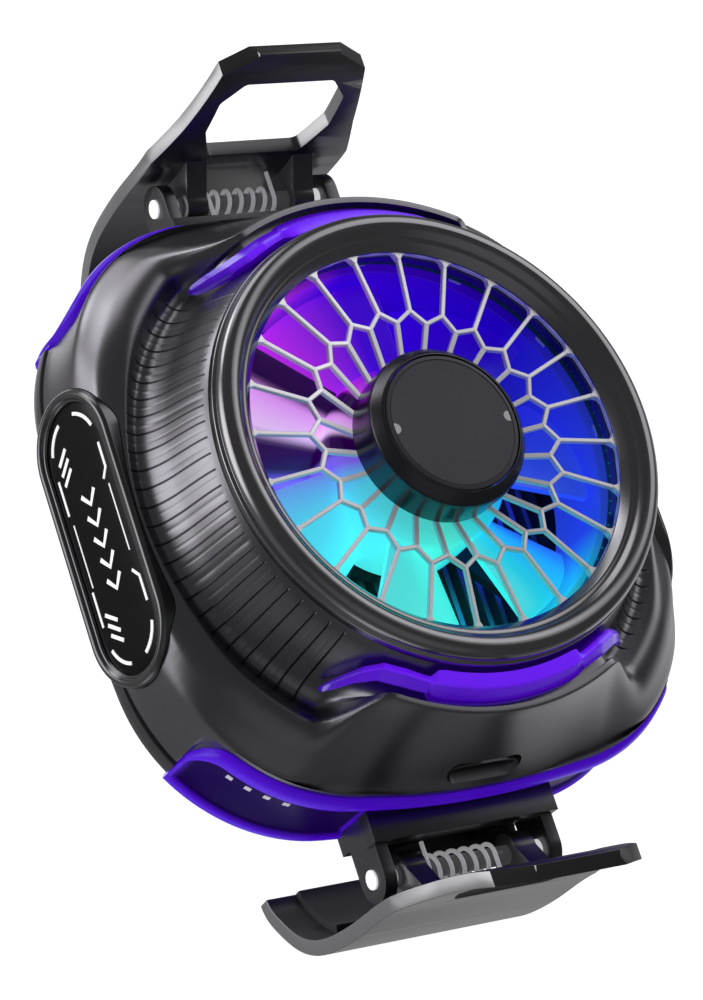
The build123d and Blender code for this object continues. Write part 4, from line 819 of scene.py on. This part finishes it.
def studio():
    """The room: dull grey with soft boxes in fixed directions."""
    world = bpy.data.worlds.new("studio")
    world.use_nodes = True
    nodes = world.node_tree.nodes
    links = world.node_tree.links
    way = nodes.new("ShaderNodeTexCoord").outputs["Generated"]
    up = part_of(nodes, links, way, "Z")
    total = ranged(nodes, links, up, 0.1, -0.4, STUDIO_GREY, STUDIO_GREY + STUDIO_LOW_GREY)
    for bearing, height, half, strength in SOFT_BOXES:
        turn = math.radians(bearing)
        rise = math.radians(height)
        facing = nodes.new("ShaderNodeVectorMath")
        facing.operation = "DOT_PRODUCT"
        facing.inputs[1].default_value = (
            math.cos(rise) * math.cos(turn), math.cos(rise) * math.sin(turn), math.sin(rise)
        )
        links.new(way, facing.inputs[0])
        edge = math.cos(math.radians(half * 1.25))
        core = math.cos(math.radians(half * 0.45))
        box = ranged(nodes, links, facing.outputs["Value"], edge, core, 0.0, strength)
        box.node.interpolation_type = "SMOOTHSTEP"
        total = worked_out(nodes, links, "ADD", total, box)
    links.new(total, nodes["Background"].inputs["Color"])
    nodes["Background"].inputs["Strength"].default_value = 1.0
    bpy.context.scene.world = world


def stage_and_light():
    """The floor, the room and the camera."""
    corners = np.array([(-1, -1), (1, -1), (1, 1), (-1, 1)]) * FLOOR_HALF / MM
    floor = make_object("floor", [(x, y, FLOOR_Z) for x, y in corners], [(0, 1, 2, 3)])
    material, nodes, links, shader = new_material("pale floor")
    shader.inputs["Base Color"].default_value = (0.8, 0.8, 0.8, 1)
    shader.inputs["Roughness"].default_value = 0.9
    shader.inputs["Emission Color"].default_value = (1, 1, 1, 1)
    shader.inputs["Emission Strength"].default_value = 1.0
    floor.data.materials.append(material)
    floor.visible_glossy = False
    floor.visible_shadow = False
    studio()

    camera = bpy.data.cameras.new("camera")
    camera.lens = CAMERA_LENS
    camera.sensor_width = 36.0
    camera.clip_start = 0.01
    camera.clip_end = 20.0
    holder = bpy.data.objects.new("camera", camera)
    turn = Matrix((CAMERA_RIGHT, CAMERA_UP, CAMERA_BACK)).transposed().to_4x4()
    holder.matrix_world = Matrix.Translation(CAMERA_PLACE) @ turn
    bpy.context.scene.collection.objects.link(holder)
    bpy.context.scene.camera = holder
    bpy.context.scene.view_settings.view_transform = "Standard"


def front_profiles(degrees):
    """The front case's outer profile at each angle, as (radius, height) controls from bore to seam."""
    out = front_radius(degrees)
    one = np.ones_like(out)
    reach = np.clip(out - PILLOW_START_R, 0.0, None)
    foot = window_top(degrees) - FOOT_GAP
    end = out + HEM_OUT - HEM_CORNER_IN * smoothstep((foot - CHEEK_TOP_Z) / HEM_FADE)
    hem = [
        (end - 0.03 * (16 - foot), foot + 1.5),
        (end, foot + 0.5),
        (end - 0.05, foot),
        (end - 0.2, foot),
        (end - WALL, foot),
        (end - WALL, foot),
    ]
    brow = NECK_TOP + BAR_SEAT + BROW_LIP
    brow += [(BROW_EDGE_R + share * (out - BROW_EDGE_R), z) for share, z in BROW_FRONT_SHARES]
    brow += [(out - 0.1, 17.6)] + hem
    pillow = NECK_TOP + NECK_SLOPE + PILLOW_FOOT
    pillow += [(r + out_share * reach, z + up_share * reach) for r, out_share, z, up_share in PILLOW_RISE]
    pillow += [(out - 0.1, 18.6), (out + 0.02, 17.6)] + hem
    side_wall = NECK_TOP + NECK_SLOPE + SIDE_TOP
    side_wall += [(out - inset, z) for inset, z in SIDE_DROP] + hem

    def spread(controls):
        return np.array([(r * one, z * one) for r, z in controls]).transpose(2, 0, 1)

    wall = (1 - smoothstep((from_side(degrees) - SIDE_WALL_DEG) / SIDE_FADE_DEG))[:, None, None]
    from_middle = np.abs((degrees % 180) - 90)
    side = smoothstep((from_middle - BROW_END_DEG) / (BROW_FADE_DEG - BROW_END_DEG))[:, None, None]
    pillow = (1 - wall) * spread(pillow) + wall * spread(side_wall)
    return spread(brow) + (pillow - spread(brow)) * side


def groove_angles():
    """Angles of the long grooves, both sides."""
    count = int(GROOVE_FAN_DEG / GROOVE_STEP_DEG)
    found = []
    for middle in (0.0, 180.0):
        found += [middle - GROOVE_FAN_DEG / 2 + i * GROOVE_STEP_DEG for i in range(count + 1)]
    return np.array(found)


def shell_columns():
    """Angles of the front case's columns: even, with closer ones at the windows' ends and the grooves."""
    half_deg = math.degrees(GROOVE_HALF / GROOVE_MID_R)
    longs = groove_angles()
    columns = set(np.round(np.arange(0, 360, COLUMN_DEG), 3))
    for middle in (0, 180):
        for side in (-1, 1):
            stop = WINDOW_START_DEG + WINDOW_RISE_DEG
            ends = np.arange(WINDOW_START_DEG - FINE_COLUMN_DEG, stop, FINE_COLUMN_DEG)
            near = middle + side * ends
            columns |= set(np.round(near % 360, 3))
    for centre in longs:
        steps = (-1.7, -1.0, -0.5, 0.0, 0.5, 1.0, 1.7)
        columns |= {round((centre + step * half_deg) % 360, 3) for step in steps}
    for centre in longs[:-1] + GROOVE_STEP_DEG / 2:
        columns |= {round((centre + step * half_deg) % 360, 3) for step in (-1.0, 0.0, 1.0)}
    kept = []
    for value in sorted(columns):
        if not kept or value - kept[-1] > CLOSEST_DEG:
            kept.append(value)
    return np.array(kept)


def groove_depths(degrees, radius, height):
    """How deep the grooves cut at each point of the neck."""
    half_deg = math.degrees(GROOVE_HALF / GROOVE_MID_R)
    longs = groove_angles()
    shorts = longs[:-1] + GROOVE_STEP_DEG / 2
    apart = np.abs((degrees[:, None] - longs[None, :] + 180) % 360 - 180).min(axis=1)
    short_apart = np.abs((degrees[:, None] - shorts[None, :] + 180) % 360 - 180).min(axis=1)
    long_shape = np.clip(1 - apart / half_deg, 0, 1)[:, None]
    short_shape = np.clip(1 - short_apart / half_deg, 0, 1)[:, None]
    end = smoothstep((GROOVE_END_R - radius) / GROOVE_END_FADE)
    along = smoothstep((GROOVE_TOP_Z - height) / GROOVE_TOP_FADE) * end
    return GROOVE_DEPTH * np.maximum(long_shape, SHORT_GROOVE_SHARE * short_shape) * along


def front_case():
    """The front half of the case, with its grooves, its badge pockets and the socket slot."""
    degrees = shell_columns()
    controls = front_profiles(degrees)
    curve = np.einsum("rc,tcx->trx", spline_weights(controls.shape[1], 5), controls)
    along = np.gradient(curve, axis=1)
    normal = np.stack([along[..., 1], -along[..., 0]], axis=-1)
    normal /= np.maximum(np.linalg.norm(normal, axis=-1, keepdims=True), 1e-9)
    depth = groove_depths(degrees, curve[..., 0], curve[..., 1])
    outer = normal * np.where(normal[..., :1] + normal[..., 1:] < 0, -1.0, 1.0)
    curve = curve - outer * depth[..., None]
    rows = [around(curve[:, i, 0], curve[:, i, 1], degrees) for i in range(curve.shape[1])]
    rows.append(around(front_radius(degrees) - WALL, INNER_SEAT_Z, degrees))
    rows += [around(np.full(len(degrees), r), z, degrees) for r, z in INNER_WALL]
    piece = tidy_mesh(make_object("front_case", *ring(rows)))
    slot = prism("slot", obround(*SLOT_INSIDE), *SLOT_DEPTHS, slot_place(), obround(*SLOT_MOUTH))
    cut(piece, [badge_pocket(-1), badge_pocket(1), slot])
    return tidy_mesh(piece, 38)


def hub_rivets():
    """Two flush rivets just inside the hub plate's edge."""
    turns = np.linspace(0, math.tau, RIVET_SIDES + 1)[:-1]
    parts = []
    for side in (-1, 1):
        rows = []
        for reach, height in RIVET_ROWS:
            x = RIVET_X + reach * np.cos(turns)
            y = reach * np.sin(turns)
            shrink = side * np.minimum(1.0, (RIVET_EDGE_R - 0.01 * np.abs(y)) / np.hypot(x, y))
            rows.append(np.stack([x * shrink, y * shrink, height + 0 * x], axis=1))
        parts.append(tube(rows))
    return tidy_mesh(make_object("hub_rivets", *joined(parts)), 30)


def turn_tree():
    """A node tree that repeats a shape at even angles about a vertical line, and its inputs' identifiers."""
    tree = bpy.data.node_groups.new("repeat about the axis", "GeometryNodeTree")
    kinds = {"Count": "Int", "Step": "Float", "Start": "Float", "Finish": "Material", "Centre": "Vector"}
    for way in ("INPUT", "OUTPUT"):
        tree.interface.new_socket("Shape", in_out=way, socket_type="NodeSocketGeometry")
    keys = []
    for name, kind in kinds.items():
        socket = tree.interface.new_socket(name, in_out="INPUT", socket_type="NodeSocket" + kind)
        keys.append(socket.identifier)
    nodes = tree.nodes
    link = tree.links.new
    given = nodes.new("NodeGroupInput").outputs
    row = nodes.new("GeometryNodeMeshLine")
    row.inputs["Offset"].default_value = (0, 0, 0)
    angle = nodes.new("ShaderNodeMath")
    angle.operation = "MULTIPLY_ADD"
    turn = nodes.new("ShaderNodeCombineXYZ")
    copies = nodes.new("GeometryNodeInstanceOnPoints")
    real = nodes.new("GeometryNodeRealizeInstances")
    finished = nodes.new("GeometryNodeSetMaterial")
    result = nodes.new("NodeGroupOutput")
    link(given["Count"], row.inputs["Count"])
    link(given["Centre"], row.inputs["Start Location"])
    link(nodes.new("GeometryNodeInputIndex").outputs["Index"], angle.inputs[0])
    link(given["Step"], angle.inputs[1])
    link(given["Start"], angle.inputs[2])
    link(angle.outputs["Value"], turn.inputs["Z"])
    link(row.outputs["Mesh"], copies.inputs["Points"])
    link(given["Shape"], copies.inputs["Instance"])
    link(turn.outputs["Vector"], copies.inputs["Rotation"])
    link(copies.outputs["Instances"], real.inputs["Geometry"])
    link(real.outputs["Geometry"], finished.inputs["Geometry"])
    link(given["Finish"], finished.inputs["Material"])
    link(finished.outputs["Geometry"], result.inputs["Shape"])
    return tree, keys


def repeat_round(piece, count, step_deg, start_deg, material, centre=(0, 0)):
    """Repeats a piece's mesh at even angles about the vertical line through centre."""
    tree, keys = turn_tree()
    copies = piece.modifiers.new("repeat round", "NODES")
    copies.node_group = tree
    place = [centre[0] * MM, centre[1] * MM, 0.0]
    for key, value in zip(keys, (count, math.radians(step_deg), math.radians(start_deg), material, place)):
        copies[key] = value
    return applied(piece)


def spoke(start, stop, half=SPOKE_HALF, bevel=0.07):
    """Points and faces of a spoke with slanted upper edges, from one top point to another."""
    start = Vector(start)
    stop = Vector(stop)
    along = (stop - start).normalized()
    across = Vector((-along.y, along.x, 0)).normalized() * half
    up = Vector((0, 0, 1))
    slant = 1 - bevel / half
    section = [(-1, -SPOKE_TALL), (1, -SPOKE_TALL), (1, -bevel), (slant, 0), (-slant, 0), (-1, -bevel)]
    points = [end + across * s + up * h for end in (start, stop) for s, h in section]
    return points, prism_faces(len(section))


def grille_cell():
    """One of the grille's repeated cells: two links that fork from a spoke, an inner spoke and the ring."""
    half = CELL_STEP_DEG / 2
    top = GRILLE_TOP_Z
    low = top - SPOKE_TALL
    vertex = polar(VERTEX_R, 0, top - VERTEX_DROP)
    fork = polar(NODE_R + 0.1, half, top - 0.01)
    parts = [
        spoke(polar(NODE_R, half, top), polar(GRILLE_RING_R + 0.5, half, top)),
        spoke(vertex, fork),
        spoke(fork, polar(VERTEX_R, CELL_STEP_DEG, top - VERTEX_DROP)),
        spoke(polar(*SPOKE_FOOT), vertex, SPOKE_HALF + 0.05),
    ]
    rows = []
    for share in np.linspace(-1, 1, 13):
        web = 1.1 * max(0.0, 1 - abs(share) * 3.2) ** 2
        inner = GRILLE_RING_R - 0.12 * abs(share) - web
        section = [
            (inner, low), (inner, top - 0.03), (inner + 0.08, top + 0.04),
            (GRILLE_RING_OUT_R, top + 0.04), (GRILLE_RING_OUT_R, low - 0.4), (inner + 0.3, low - 0.4),
        ]
        rows.append([polar(r, half + share * half, z) for r, z in section])
    parts.append((np.concatenate(rows), grid_faces(len(rows), len(rows[0]))))
    return make_object("fan_grille", *joined(parts))


def grille():
    """The silver grille."""
    piece = repeat_round(grille_cell(), CELLS, CELL_STEP_DEG, 0, silver)
    return tidy_mesh(piece, 30)


def light_bar(name, sign):
    """A light bar: a faceted bar that narrows at each end into a bent round tail."""
    section = np.array(rounded_profile(BAR_SECTION, 3))
    middle = section.mean(axis=0)
    around_middle = section - middle
    bearing = np.arctan2(around_middle[:, 1], around_middle[:, 0])
    circle = np.stack([np.cos(bearing), np.sin(bearing)], axis=1)
    joint = [19.0, 19.4, 19.8, 20.2, 20.6]
    turns = np.concatenate([np.linspace(0, 18.6, 14), joint, np.linspace(21.5, TAIL_TURNS[-1], 40)])
    rows = []
    for turn in np.concatenate([-turns[:0:-1], turns]):
        size = abs(turn)
        share = float(smoothstep((size - BAR_TO_TAIL_DEG) / 1.6))
        centre = np.array([np.interp(size, TAIL_TURNS, line) for line in (TAIL_RADII, TAIL_HEIGHTS)])
        tail = centre + circle * np.interp(size, TAIL_TURNS, TAIL_SIZES)
        narrow = 1.0 if size < BAR_NARROW_DEG else 1.0 - 0.1 * (size - BAR_NARROW_DEG)
        bar = middle + around_middle * max(narrow, 0.7)
        radius, height = (bar * (1 - share) + tail * share).T
        angle = math.radians(turn)
        rows.append(np.stack([radius * math.sin(angle), sign * radius * math.cos(angle), height], axis=1))
    return tidy_mesh(make_object(name, *tube(rows)), 32)


def window(name, sign):
    """The purple band round one end of the tray: a rolled upper edge, a sunk panel with painted shade and a
    lower lip.
    """
    end = WINDOW_START_DEG + WINDOW_END_GAP_DEG
    ends = np.arange(0, WINDOW_RISE_DEG, FINE_COLUMN_DEG)
    middle = np.arange(end + WINDOW_RISE_DEG, 180 - end - WINDOW_RISE_DEG, COLUMN_DEG)
    degrees = np.concatenate([end + ends, middle, (180 - end - ends)[::-1]])
    top = window_top(degrees)
    tall = top - TRAY_LOW_Z
    squeeze = np.clip(tall / WINDOW_FULL_TALL, 0, 1)
    deep = RECESS_DEEP * smoothstep((tall - PANEL_TALL) / PANEL_FADE)
    from_end = np.minimum(degrees, 180 - degrees) - end
    low_in = UPPER_LIP_IN * smoothstep(from_end / UPPER_LIP_DEG) if sign > 0 else 0 * top
    panel = [
        (0.8, 0.0, top - 2.35 * squeeze),
        (1.0, 0.15, top - 2.7 * squeeze),
        (1.0, 1.0, TRAY_LOW_Z + 3.2 * squeeze),
        (0.8, 1.0, TRAY_LOW_Z + 2.8 * squeeze),
    ]
    # Each row's third value says whether it lies in the sunk panel, where the material paints shade
    rows = [(inset + 0 * top, top + drop * squeeze, 0.0) for inset, drop in WINDOW_ROWS_HIGH]
    rows += [(PANEL_IN + sunk * deep + lip * low_in, height, 1.0) for sunk, lip, height in panel]
    rows += [(inset + low_in + 0 * top, TRAY_LOW_Z + rise * squeeze, 0.0) for inset, rise in WINDOW_ROWS_LOW]
    rings = []
    shades = []
    for inset, height, dark in rows:
        radius = np.array([float(outline_radius(d, i)) for d, i in zip(degrees, inset)])
        rings.append(around(radius, height, degrees) * (1, sign, 1))
        shades.append(dark * deep / RECESS_DEEP)
    piece = make_object(name, *band(rings))
    # The painted shade's share at each point, read by the window material
    sunk = piece.data.attributes.new("sunk", "FLOAT", "POINT")
    sunk.data.foreach_set("value", np.concatenate(shades).astype(np.float32))
    tidy_mesh(piece, 50)
    cut(piece, [prism("bracket_room", BRACKET_ROOM, *BRACKET_ROOM_Z, Matrix.Diagonal((1, sign, 1, 1)))])
    return tidy_mesh(piece, 50)


def cheek(name, side):
    """The hard panel low on a side of the case, under the front case's foot."""
    half = WINDOW_START_DEG + CHEEK_END_DEG
    degrees = np.linspace(-half, half, 81)
    top = CHEEK_TOP_Z - CHEEK_GAP
    profile = [(2.2, top), (0.45, top), (0.3, top - 0.1)] + CHEEK_ROWS
    rows = [around(outline_radius(degrees, inset), z, degrees) * (side, 1, 1) for inset, z in profile]
    piece = tidy_mesh(make_object(name, *band(rows)), 50)
    cut(piece, [badge_pocket(side)])
    return tidy_mesh(piece, 40)


def corner_circle():
    """Centre and radius of the outline's lower left corner."""
    x, y = outline_points(0)
    near = [np.argmin(np.abs(np.degrees(np.arctan2(y, x)) % 360 - turn)) for turn in (218, 225, 232)]
    (ax, ay), (bx, by), (cx, cy) = [(x[i], y[i]) for i in near]
    d = 2 * (ax * (by - cy) + bx * (cy - ay) + cx * (ay - by))
    ux = ((ax**2 + ay**2) * (by - cy) + (bx**2 + by**2) * (cy - ay) + (cx**2 + cy**2) * (ay - by)) / d
    uy = ((ax**2 + ay**2) * (cx - bx) + (bx**2 + by**2) * (ax - cx) + (cx**2 + cy**2) * (bx - ax)) / d
    return (ux, uy), math.hypot(ax - ux, ay - uy)


def vent_lights():
    """Four small clear slots high in the windows at each corner of the tray."""
    (x, y), radius = corner_circle()
    deep = radius - PANEL_IN - RECESS_DEEP
    parts = []
    for side_x, side_y in ((-1, -1), (-1, 1), (1, -1), (1, 1)):
        points = [
            (deep + out, across, VENT_Z + up)
            for across in (-VENT_HALF, VENT_HALF)
            for out, up in VENT_SECTION
        ]
        slot = tidy_mesh(make_object("slot", points, prism_faces(len(VENT_SECTION))), 40)
        hand = side_x * side_y
        step = hand * VENT_STEP_DEG
        start = math.degrees(math.atan2(side_y, side_x)) - step * (VENTS - 1) / 2 + hand * VENT_SHIFT_DEG
        made = repeat_round(slot, VENTS, step, start, vent_clear, (side_x * -x, side_y * -y))
        points = [v.co / MM for v in made.data.vertices]
        parts.append((points, [tuple(face.vertices) for face in made.data.polygons]))
        bpy.data.objects.remove(made)
    return tidy_mesh(make_object("vent_lights", *joined(parts)), 40)


def tray():
    """The rear tray, cut back where the windows stand."""
    piece = tidy_mesh(bevelled_copy("rear_shell", "tray", 0.3), 38)
    degrees = np.linspace(TRAY_CUT_DEG, 180 - TRAY_CUT_DEG, 100)
    cutters = []
    for sign in (-1, 1):
        rows = [around(outline_radius(degrees, inset), z, degrees) * (1, sign, 1) for inset, z in TRAY_CUT]
        cutters.append(make_object("window_room", *band(rows)))
    cut(piece, cutters, "EXACT")
    return piece


def bezel(name, side):
    """The rounded frame round a badge, with a fine bright edge inside."""
    place = badge_place(side)
    rows = []
    for inset, out in rounded_profile(BEZEL_CORNERS, 4):
        outline = obround(BADGE_LONG - 2 * inset, BADGE_TALL - 2 * inset)
        rows.append([place @ Vector((u, v, out)) for u, v in outline])
    return tidy_mesh(make_object(name, *ring(rows)), 35)


def badge(name, side):
    """The glossy plate of a badge, slightly domed."""
    place = badge_place(side)
    outline = obround(BADGE_LONG - 2 * PLATE_IN, BADGE_TALL - 2 * PLATE_IN)
    rows = [[place @ Vector((u * share, v * share, out)) for u, v in outline] for share, out in PLATE_ROWS]
    return tidy_mesh(make_object(name, *tube(rows)), 30)


def stroke(points, wide):
    """Outline points of a flat line of even width along a few points."""
    left = []
    right = []
    for i, here in enumerate(points):
        here = np.array(here, float)
        before = here - np.array(points[max(i - 1, 0)], float)
        after = np.array(points[min(i + 1, len(points) - 1)], float) - here
        way = np.zeros(2)
        for leg in (before, after):
            if np.linalg.norm(leg) > 0:
                way += leg / np.linalg.norm(leg)
        way /= np.linalg.norm(way)
        push = np.array((-way[1], way[0])) * wide / 2
        left.append(here + push)
        right.append(here - push)
    return left + right[::-1]


def arc_points(centre, radius, start_deg, stop_deg, steps=10):
    """Points along an arc."""
    turns = np.radians(np.linspace(start_deg, stop_deg, steps))
    return [(centre + radius * math.cos(t), radius * math.sin(t)) for t in turns]


def mark_lines():
    """Lines of a badge's printed marks with their widths: arcs, edge lines, slashes and a row of arrows."""
    lines = []
    for way in (-1, 1):
        for start in (20, -70):
            lines.append(([(way * u, v) for u, v in arc_points(9.7, 4.2, start, start + 50)], 0.38))
        lines.append(([(way * 9.0, 4.2), (way * 6.2, 4.2), (way * 5.2, 3.3)], 0.34))
        lines.append(([(way * 8.4, -4.2), (way * 4.4, -4.2)], 0.3))
        for step in range(3):
            near = 7.4 + step * 1.15
            lines.append(([(way * near, -3.3), (way * (near + 1.3), -1.5)], 0.42))
    lines.append(([(-4.4, 3.9), (3.2, 3.9)], 0.16))
    lines.append(([(-3.2, -3.9), (4.0, -3.9)], 0.16))
    for step in range(5):
        tip = -4.4 + step * 2.4
        lines.append(([(tip - 0.8, 1.25), (tip + 0.55, 0), (tip - 0.8, -1.25)], 0.52))
    return lines


def badge_marks(name, side):
    """Plain printed marks of a badge, raised a little from its plate."""
    place = badge_place(side)
    parts = []
    for line, wide in mark_lines():
        outline = stroke(line, wide)
        count = len(outline)
        points = [place @ Vector((u, v, height)) for height in MARK_HEIGHTS for u, v in outline]
        faces = prism_faces(count)[2:]
        for level in (0, count):
            last = level + count - 1
            quads = [(level + i, level + i + 1, last - 1 - i, last - i) for i in range(count // 2 - 1)]
            faces += quads if level == 0 else [tuple(reversed(quad)) for quad in quads]
        parts.append((points, faces))
    return tidy_mesh(make_object(name, *joined(parts)), 30)


def wire(name, points, radius, sides=12):
    """A round wire along a line of points, closed at both ends."""
    line = np.array(points, float)
    ways = np.gradient(line, axis=0)
    ways /= np.linalg.norm(ways, axis=1)[:, None]
    up = np.array((1.0, 0.0, 0.0))
    turns = np.linspace(0, math.tau, sides + 1)[:-1]
    rows = []
    for place, way in zip(line, ways):
        across = np.cross(way, up)
        across /= np.linalg.norm(across)
        up = np.cross(across, way)
        rows.append(place + radius * (np.cos(turns)[:, None] * across + np.sin(turns)[:, None] * up))
    return tidy_mesh(make_object(name, *tube(rows)), 50)


def clip_spring(node, sign):
    """A clip's spring in two pieces: the coil on the bracket, and the last part turn with the lever's leg."""
    corners = np.array([v.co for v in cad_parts[node].data.vertices]) / MM
    low = corners.min(axis=0)
    high = corners.max(axis=0)
    ends = sorted((low[0] + SPRING_WIRE_R, high[0] - SPRING_WIRE_R), key=abs, reverse=True)
    tips = sorted((low[1] * sign, high[1] * sign))
    ramp = SPRING_END_TURNS
    slope = 1 / (SPRING_TURNS - ramp)

    def at(turn):
        if turn < ramp:
            share = slope * turn**2
        elif turn > SPRING_TURNS - ramp:
            share = 1 - slope * (SPRING_TURNS - turn) ** 2
        else:
            share = slope * (turn - ramp / 2)
        angle = math.pi / 2 - math.tau * turn
        y = PIN_Y + SPRING_MEAN_R * math.cos(angle)
        return (ends[0] + (ends[1] - ends[0]) * share, sign * y, PIN_Z + SPRING_MEAN_R * math.sin(angle))

    split = SPRING_TURNS - SPRING_LEG_TURNS
    coil = [at(turn) for turn in np.linspace(0, split, 205)]
    leg = [at(turn) for turn in np.linspace(split, SPRING_TURNS, 14)]
    x, _, z = coil[0]
    coil = [(x, sign * tips[0], z), (x, sign * (PIN_Y - SPRING_TAIL), z)] + coil
    x, _, z = leg[-1]
    leg += [(x, sign * (PIN_Y + SPRING_TAIL), z), (x, sign * tips[1], z)]
    return wire(node + "_coil", coil, SPRING_WIRE_R), wire(node + "_leg", leg, SPRING_WIRE_R)


def add_web(piece, sign):
    """Adds the thin web that closes a bracket behind its spring."""
    work = bmesh.new()
    work.from_mesh(piece.data)
    made = bmesh.ops.create_cube(work, size=1.0)["verts"]
    long, wide, thick = WEB_SIZE
    for vert in made:
        x, y, z = vert.co
        vert.co = (x * long * MM, (sign * WEB_Y + y * wide) * MM, (WEB_Z + z * thick) * MM)
    work.to_mesh(piece.data)
    work.free()


stage_and_light()

# Pieces of the case, its fan and its badges
finish_piece(front_case(), gunmetal, "root", "shell_plastic", "front_shell")
finish_piece(lathe("rim", RIM_CORNERS, 240, 30), rim_gloss, "root", "rim_plastic", "front_rim")
finish_piece(grille(), silver, "root", "grille_metal", "grille")
hub_cover = lathe("hub_cover", HUB_COVER_CORNERS, 160, 40)
finish_piece(hub_cover, hub_gloss, "root", "hub_plastic", "hub_cap")
hub_disc = lathe("hub_disc", HUB_DISC_CORNERS, 160, 20)
finish_piece(hub_disc, plate_matt, "root", "plate_plastic", "hub_plate")
finish_piece(light_bar("top_bar", 1), purple_bar, "root", "light_bar", "top_light_bar")
finish_piece(light_bar("bottom_bar", -1), purple_bar, "root", "light_bar", "bottom_light_bar")
finish_piece(tray(), purple_tray, "root", "tray_plastic", "rear_shell")
finish_piece(window("top_window", 1), purple_window, "root", "tray_plastic")
finish_piece(window("bottom_window", -1), purple_window, "root", "tray_plastic")
finish_piece(hub_rivets(), stud_grey, "root", "bright_steel", "hub_studs")
finish_piece(vent_lights(), vent_clear, "root", "light_source")
finish_piece(cheek("left_side_panel", -1), cheek_grey, "root", "cheek_plastic", "left_cheek")
finish_piece(cheek("right_side_panel", 1), cheek_grey, "root", "cheek_plastic", "right_cheek")
for name, side in (("left", -1), ("right", 1)):
    finish_piece(bezel(name + "_badge_frame", side), bezel_gloss, "root", "bezel_plastic", name + "_bezel")
    finish_piece(badge(name + "_badge_plate", side), badge_black, "root", "badge_plastic", name + "_badge")
    finish_piece(badge_marks(name + "_badge_marks", side), badge_white, "root", "badge_plastic")

for node, sign, body in (("top_spring", 1, "top_clip"), ("bottom_spring", -1, "bottom_clip")):
    coil, leg = clip_spring(node, sign)
    finish_piece(coil, spring_wire, "root", "spring_steel", node)
    finish_piece(leg, spring_wire, body, "spring_steel")

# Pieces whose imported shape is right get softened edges: node, piece, width of the edges, material, body, slot
SOFTENED = [
    ("impeller", "fan_blades", 0.12, blade_glow, "fan", "blade_plastic"),
    ("duct_ring", "light_guide", 0.15, duct_glow, "root", "duct_plastic"),
    ("top_bracket", "top_clip_bracket", 0.2, clip_black, "root", "clip_plastic"),
    ("bottom_bracket", "bottom_clip_bracket", 0.2, clip_black, "root", "clip_plastic"),
    ("top_lever", "top_clip_lever", 0.22, lever_black, "top_clip", "clip_plastic"),
    ("bottom_lever", "bottom_clip_lever", 0.22, lever_black, "bottom_clip", "clip_plastic"),
]
for node, name, width, material, body, slot in SOFTENED:
    piece = bevelled_copy(node, name, width)
    if node.endswith("bracket"):
        add_web(piece, 1 if node.startswith("top") else -1)
    finish_piece(piece, material, body, slot, node)

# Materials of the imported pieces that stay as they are
FINISHES = [
    (sink_metal, ["cold_plate", "heat_sink"]),
    (silicone, ["contact_pad", "top_jaw_pad", "bottom_jaw_pad"]),
    (ceramic, ["thermoelectric_module"]),
    (dark_plastic, ["motor_frame", "socket_insert"]),
    (bronze, ["bearing_sleeve"]),
    (core_steel, ["stator_core", "rotor_yoke"]),
    (copper, ["stator_windings"]),
    (magnet_grey, ["rotor_magnet"]),
    (board_green, ["motor_board", "light_board", "control_board"]),
    (light_white, ["lights"]),
    (steel, ["power_socket", "fan_shaft"]),
    (pin_bright, ["top_pin", "bottom_pin"]),
    (dark_steel, ["case_screws", "frame_screws", "board_screws", "shaft_clip"]),
    (dark_steel, ["top_bracket_screws", "bottom_bracket_screws"]),
]
for material, nodes in FINISHES:
    for node in nodes:
        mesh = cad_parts[node].data
        mesh.materials.clear()
        mesh.materials.append(material)
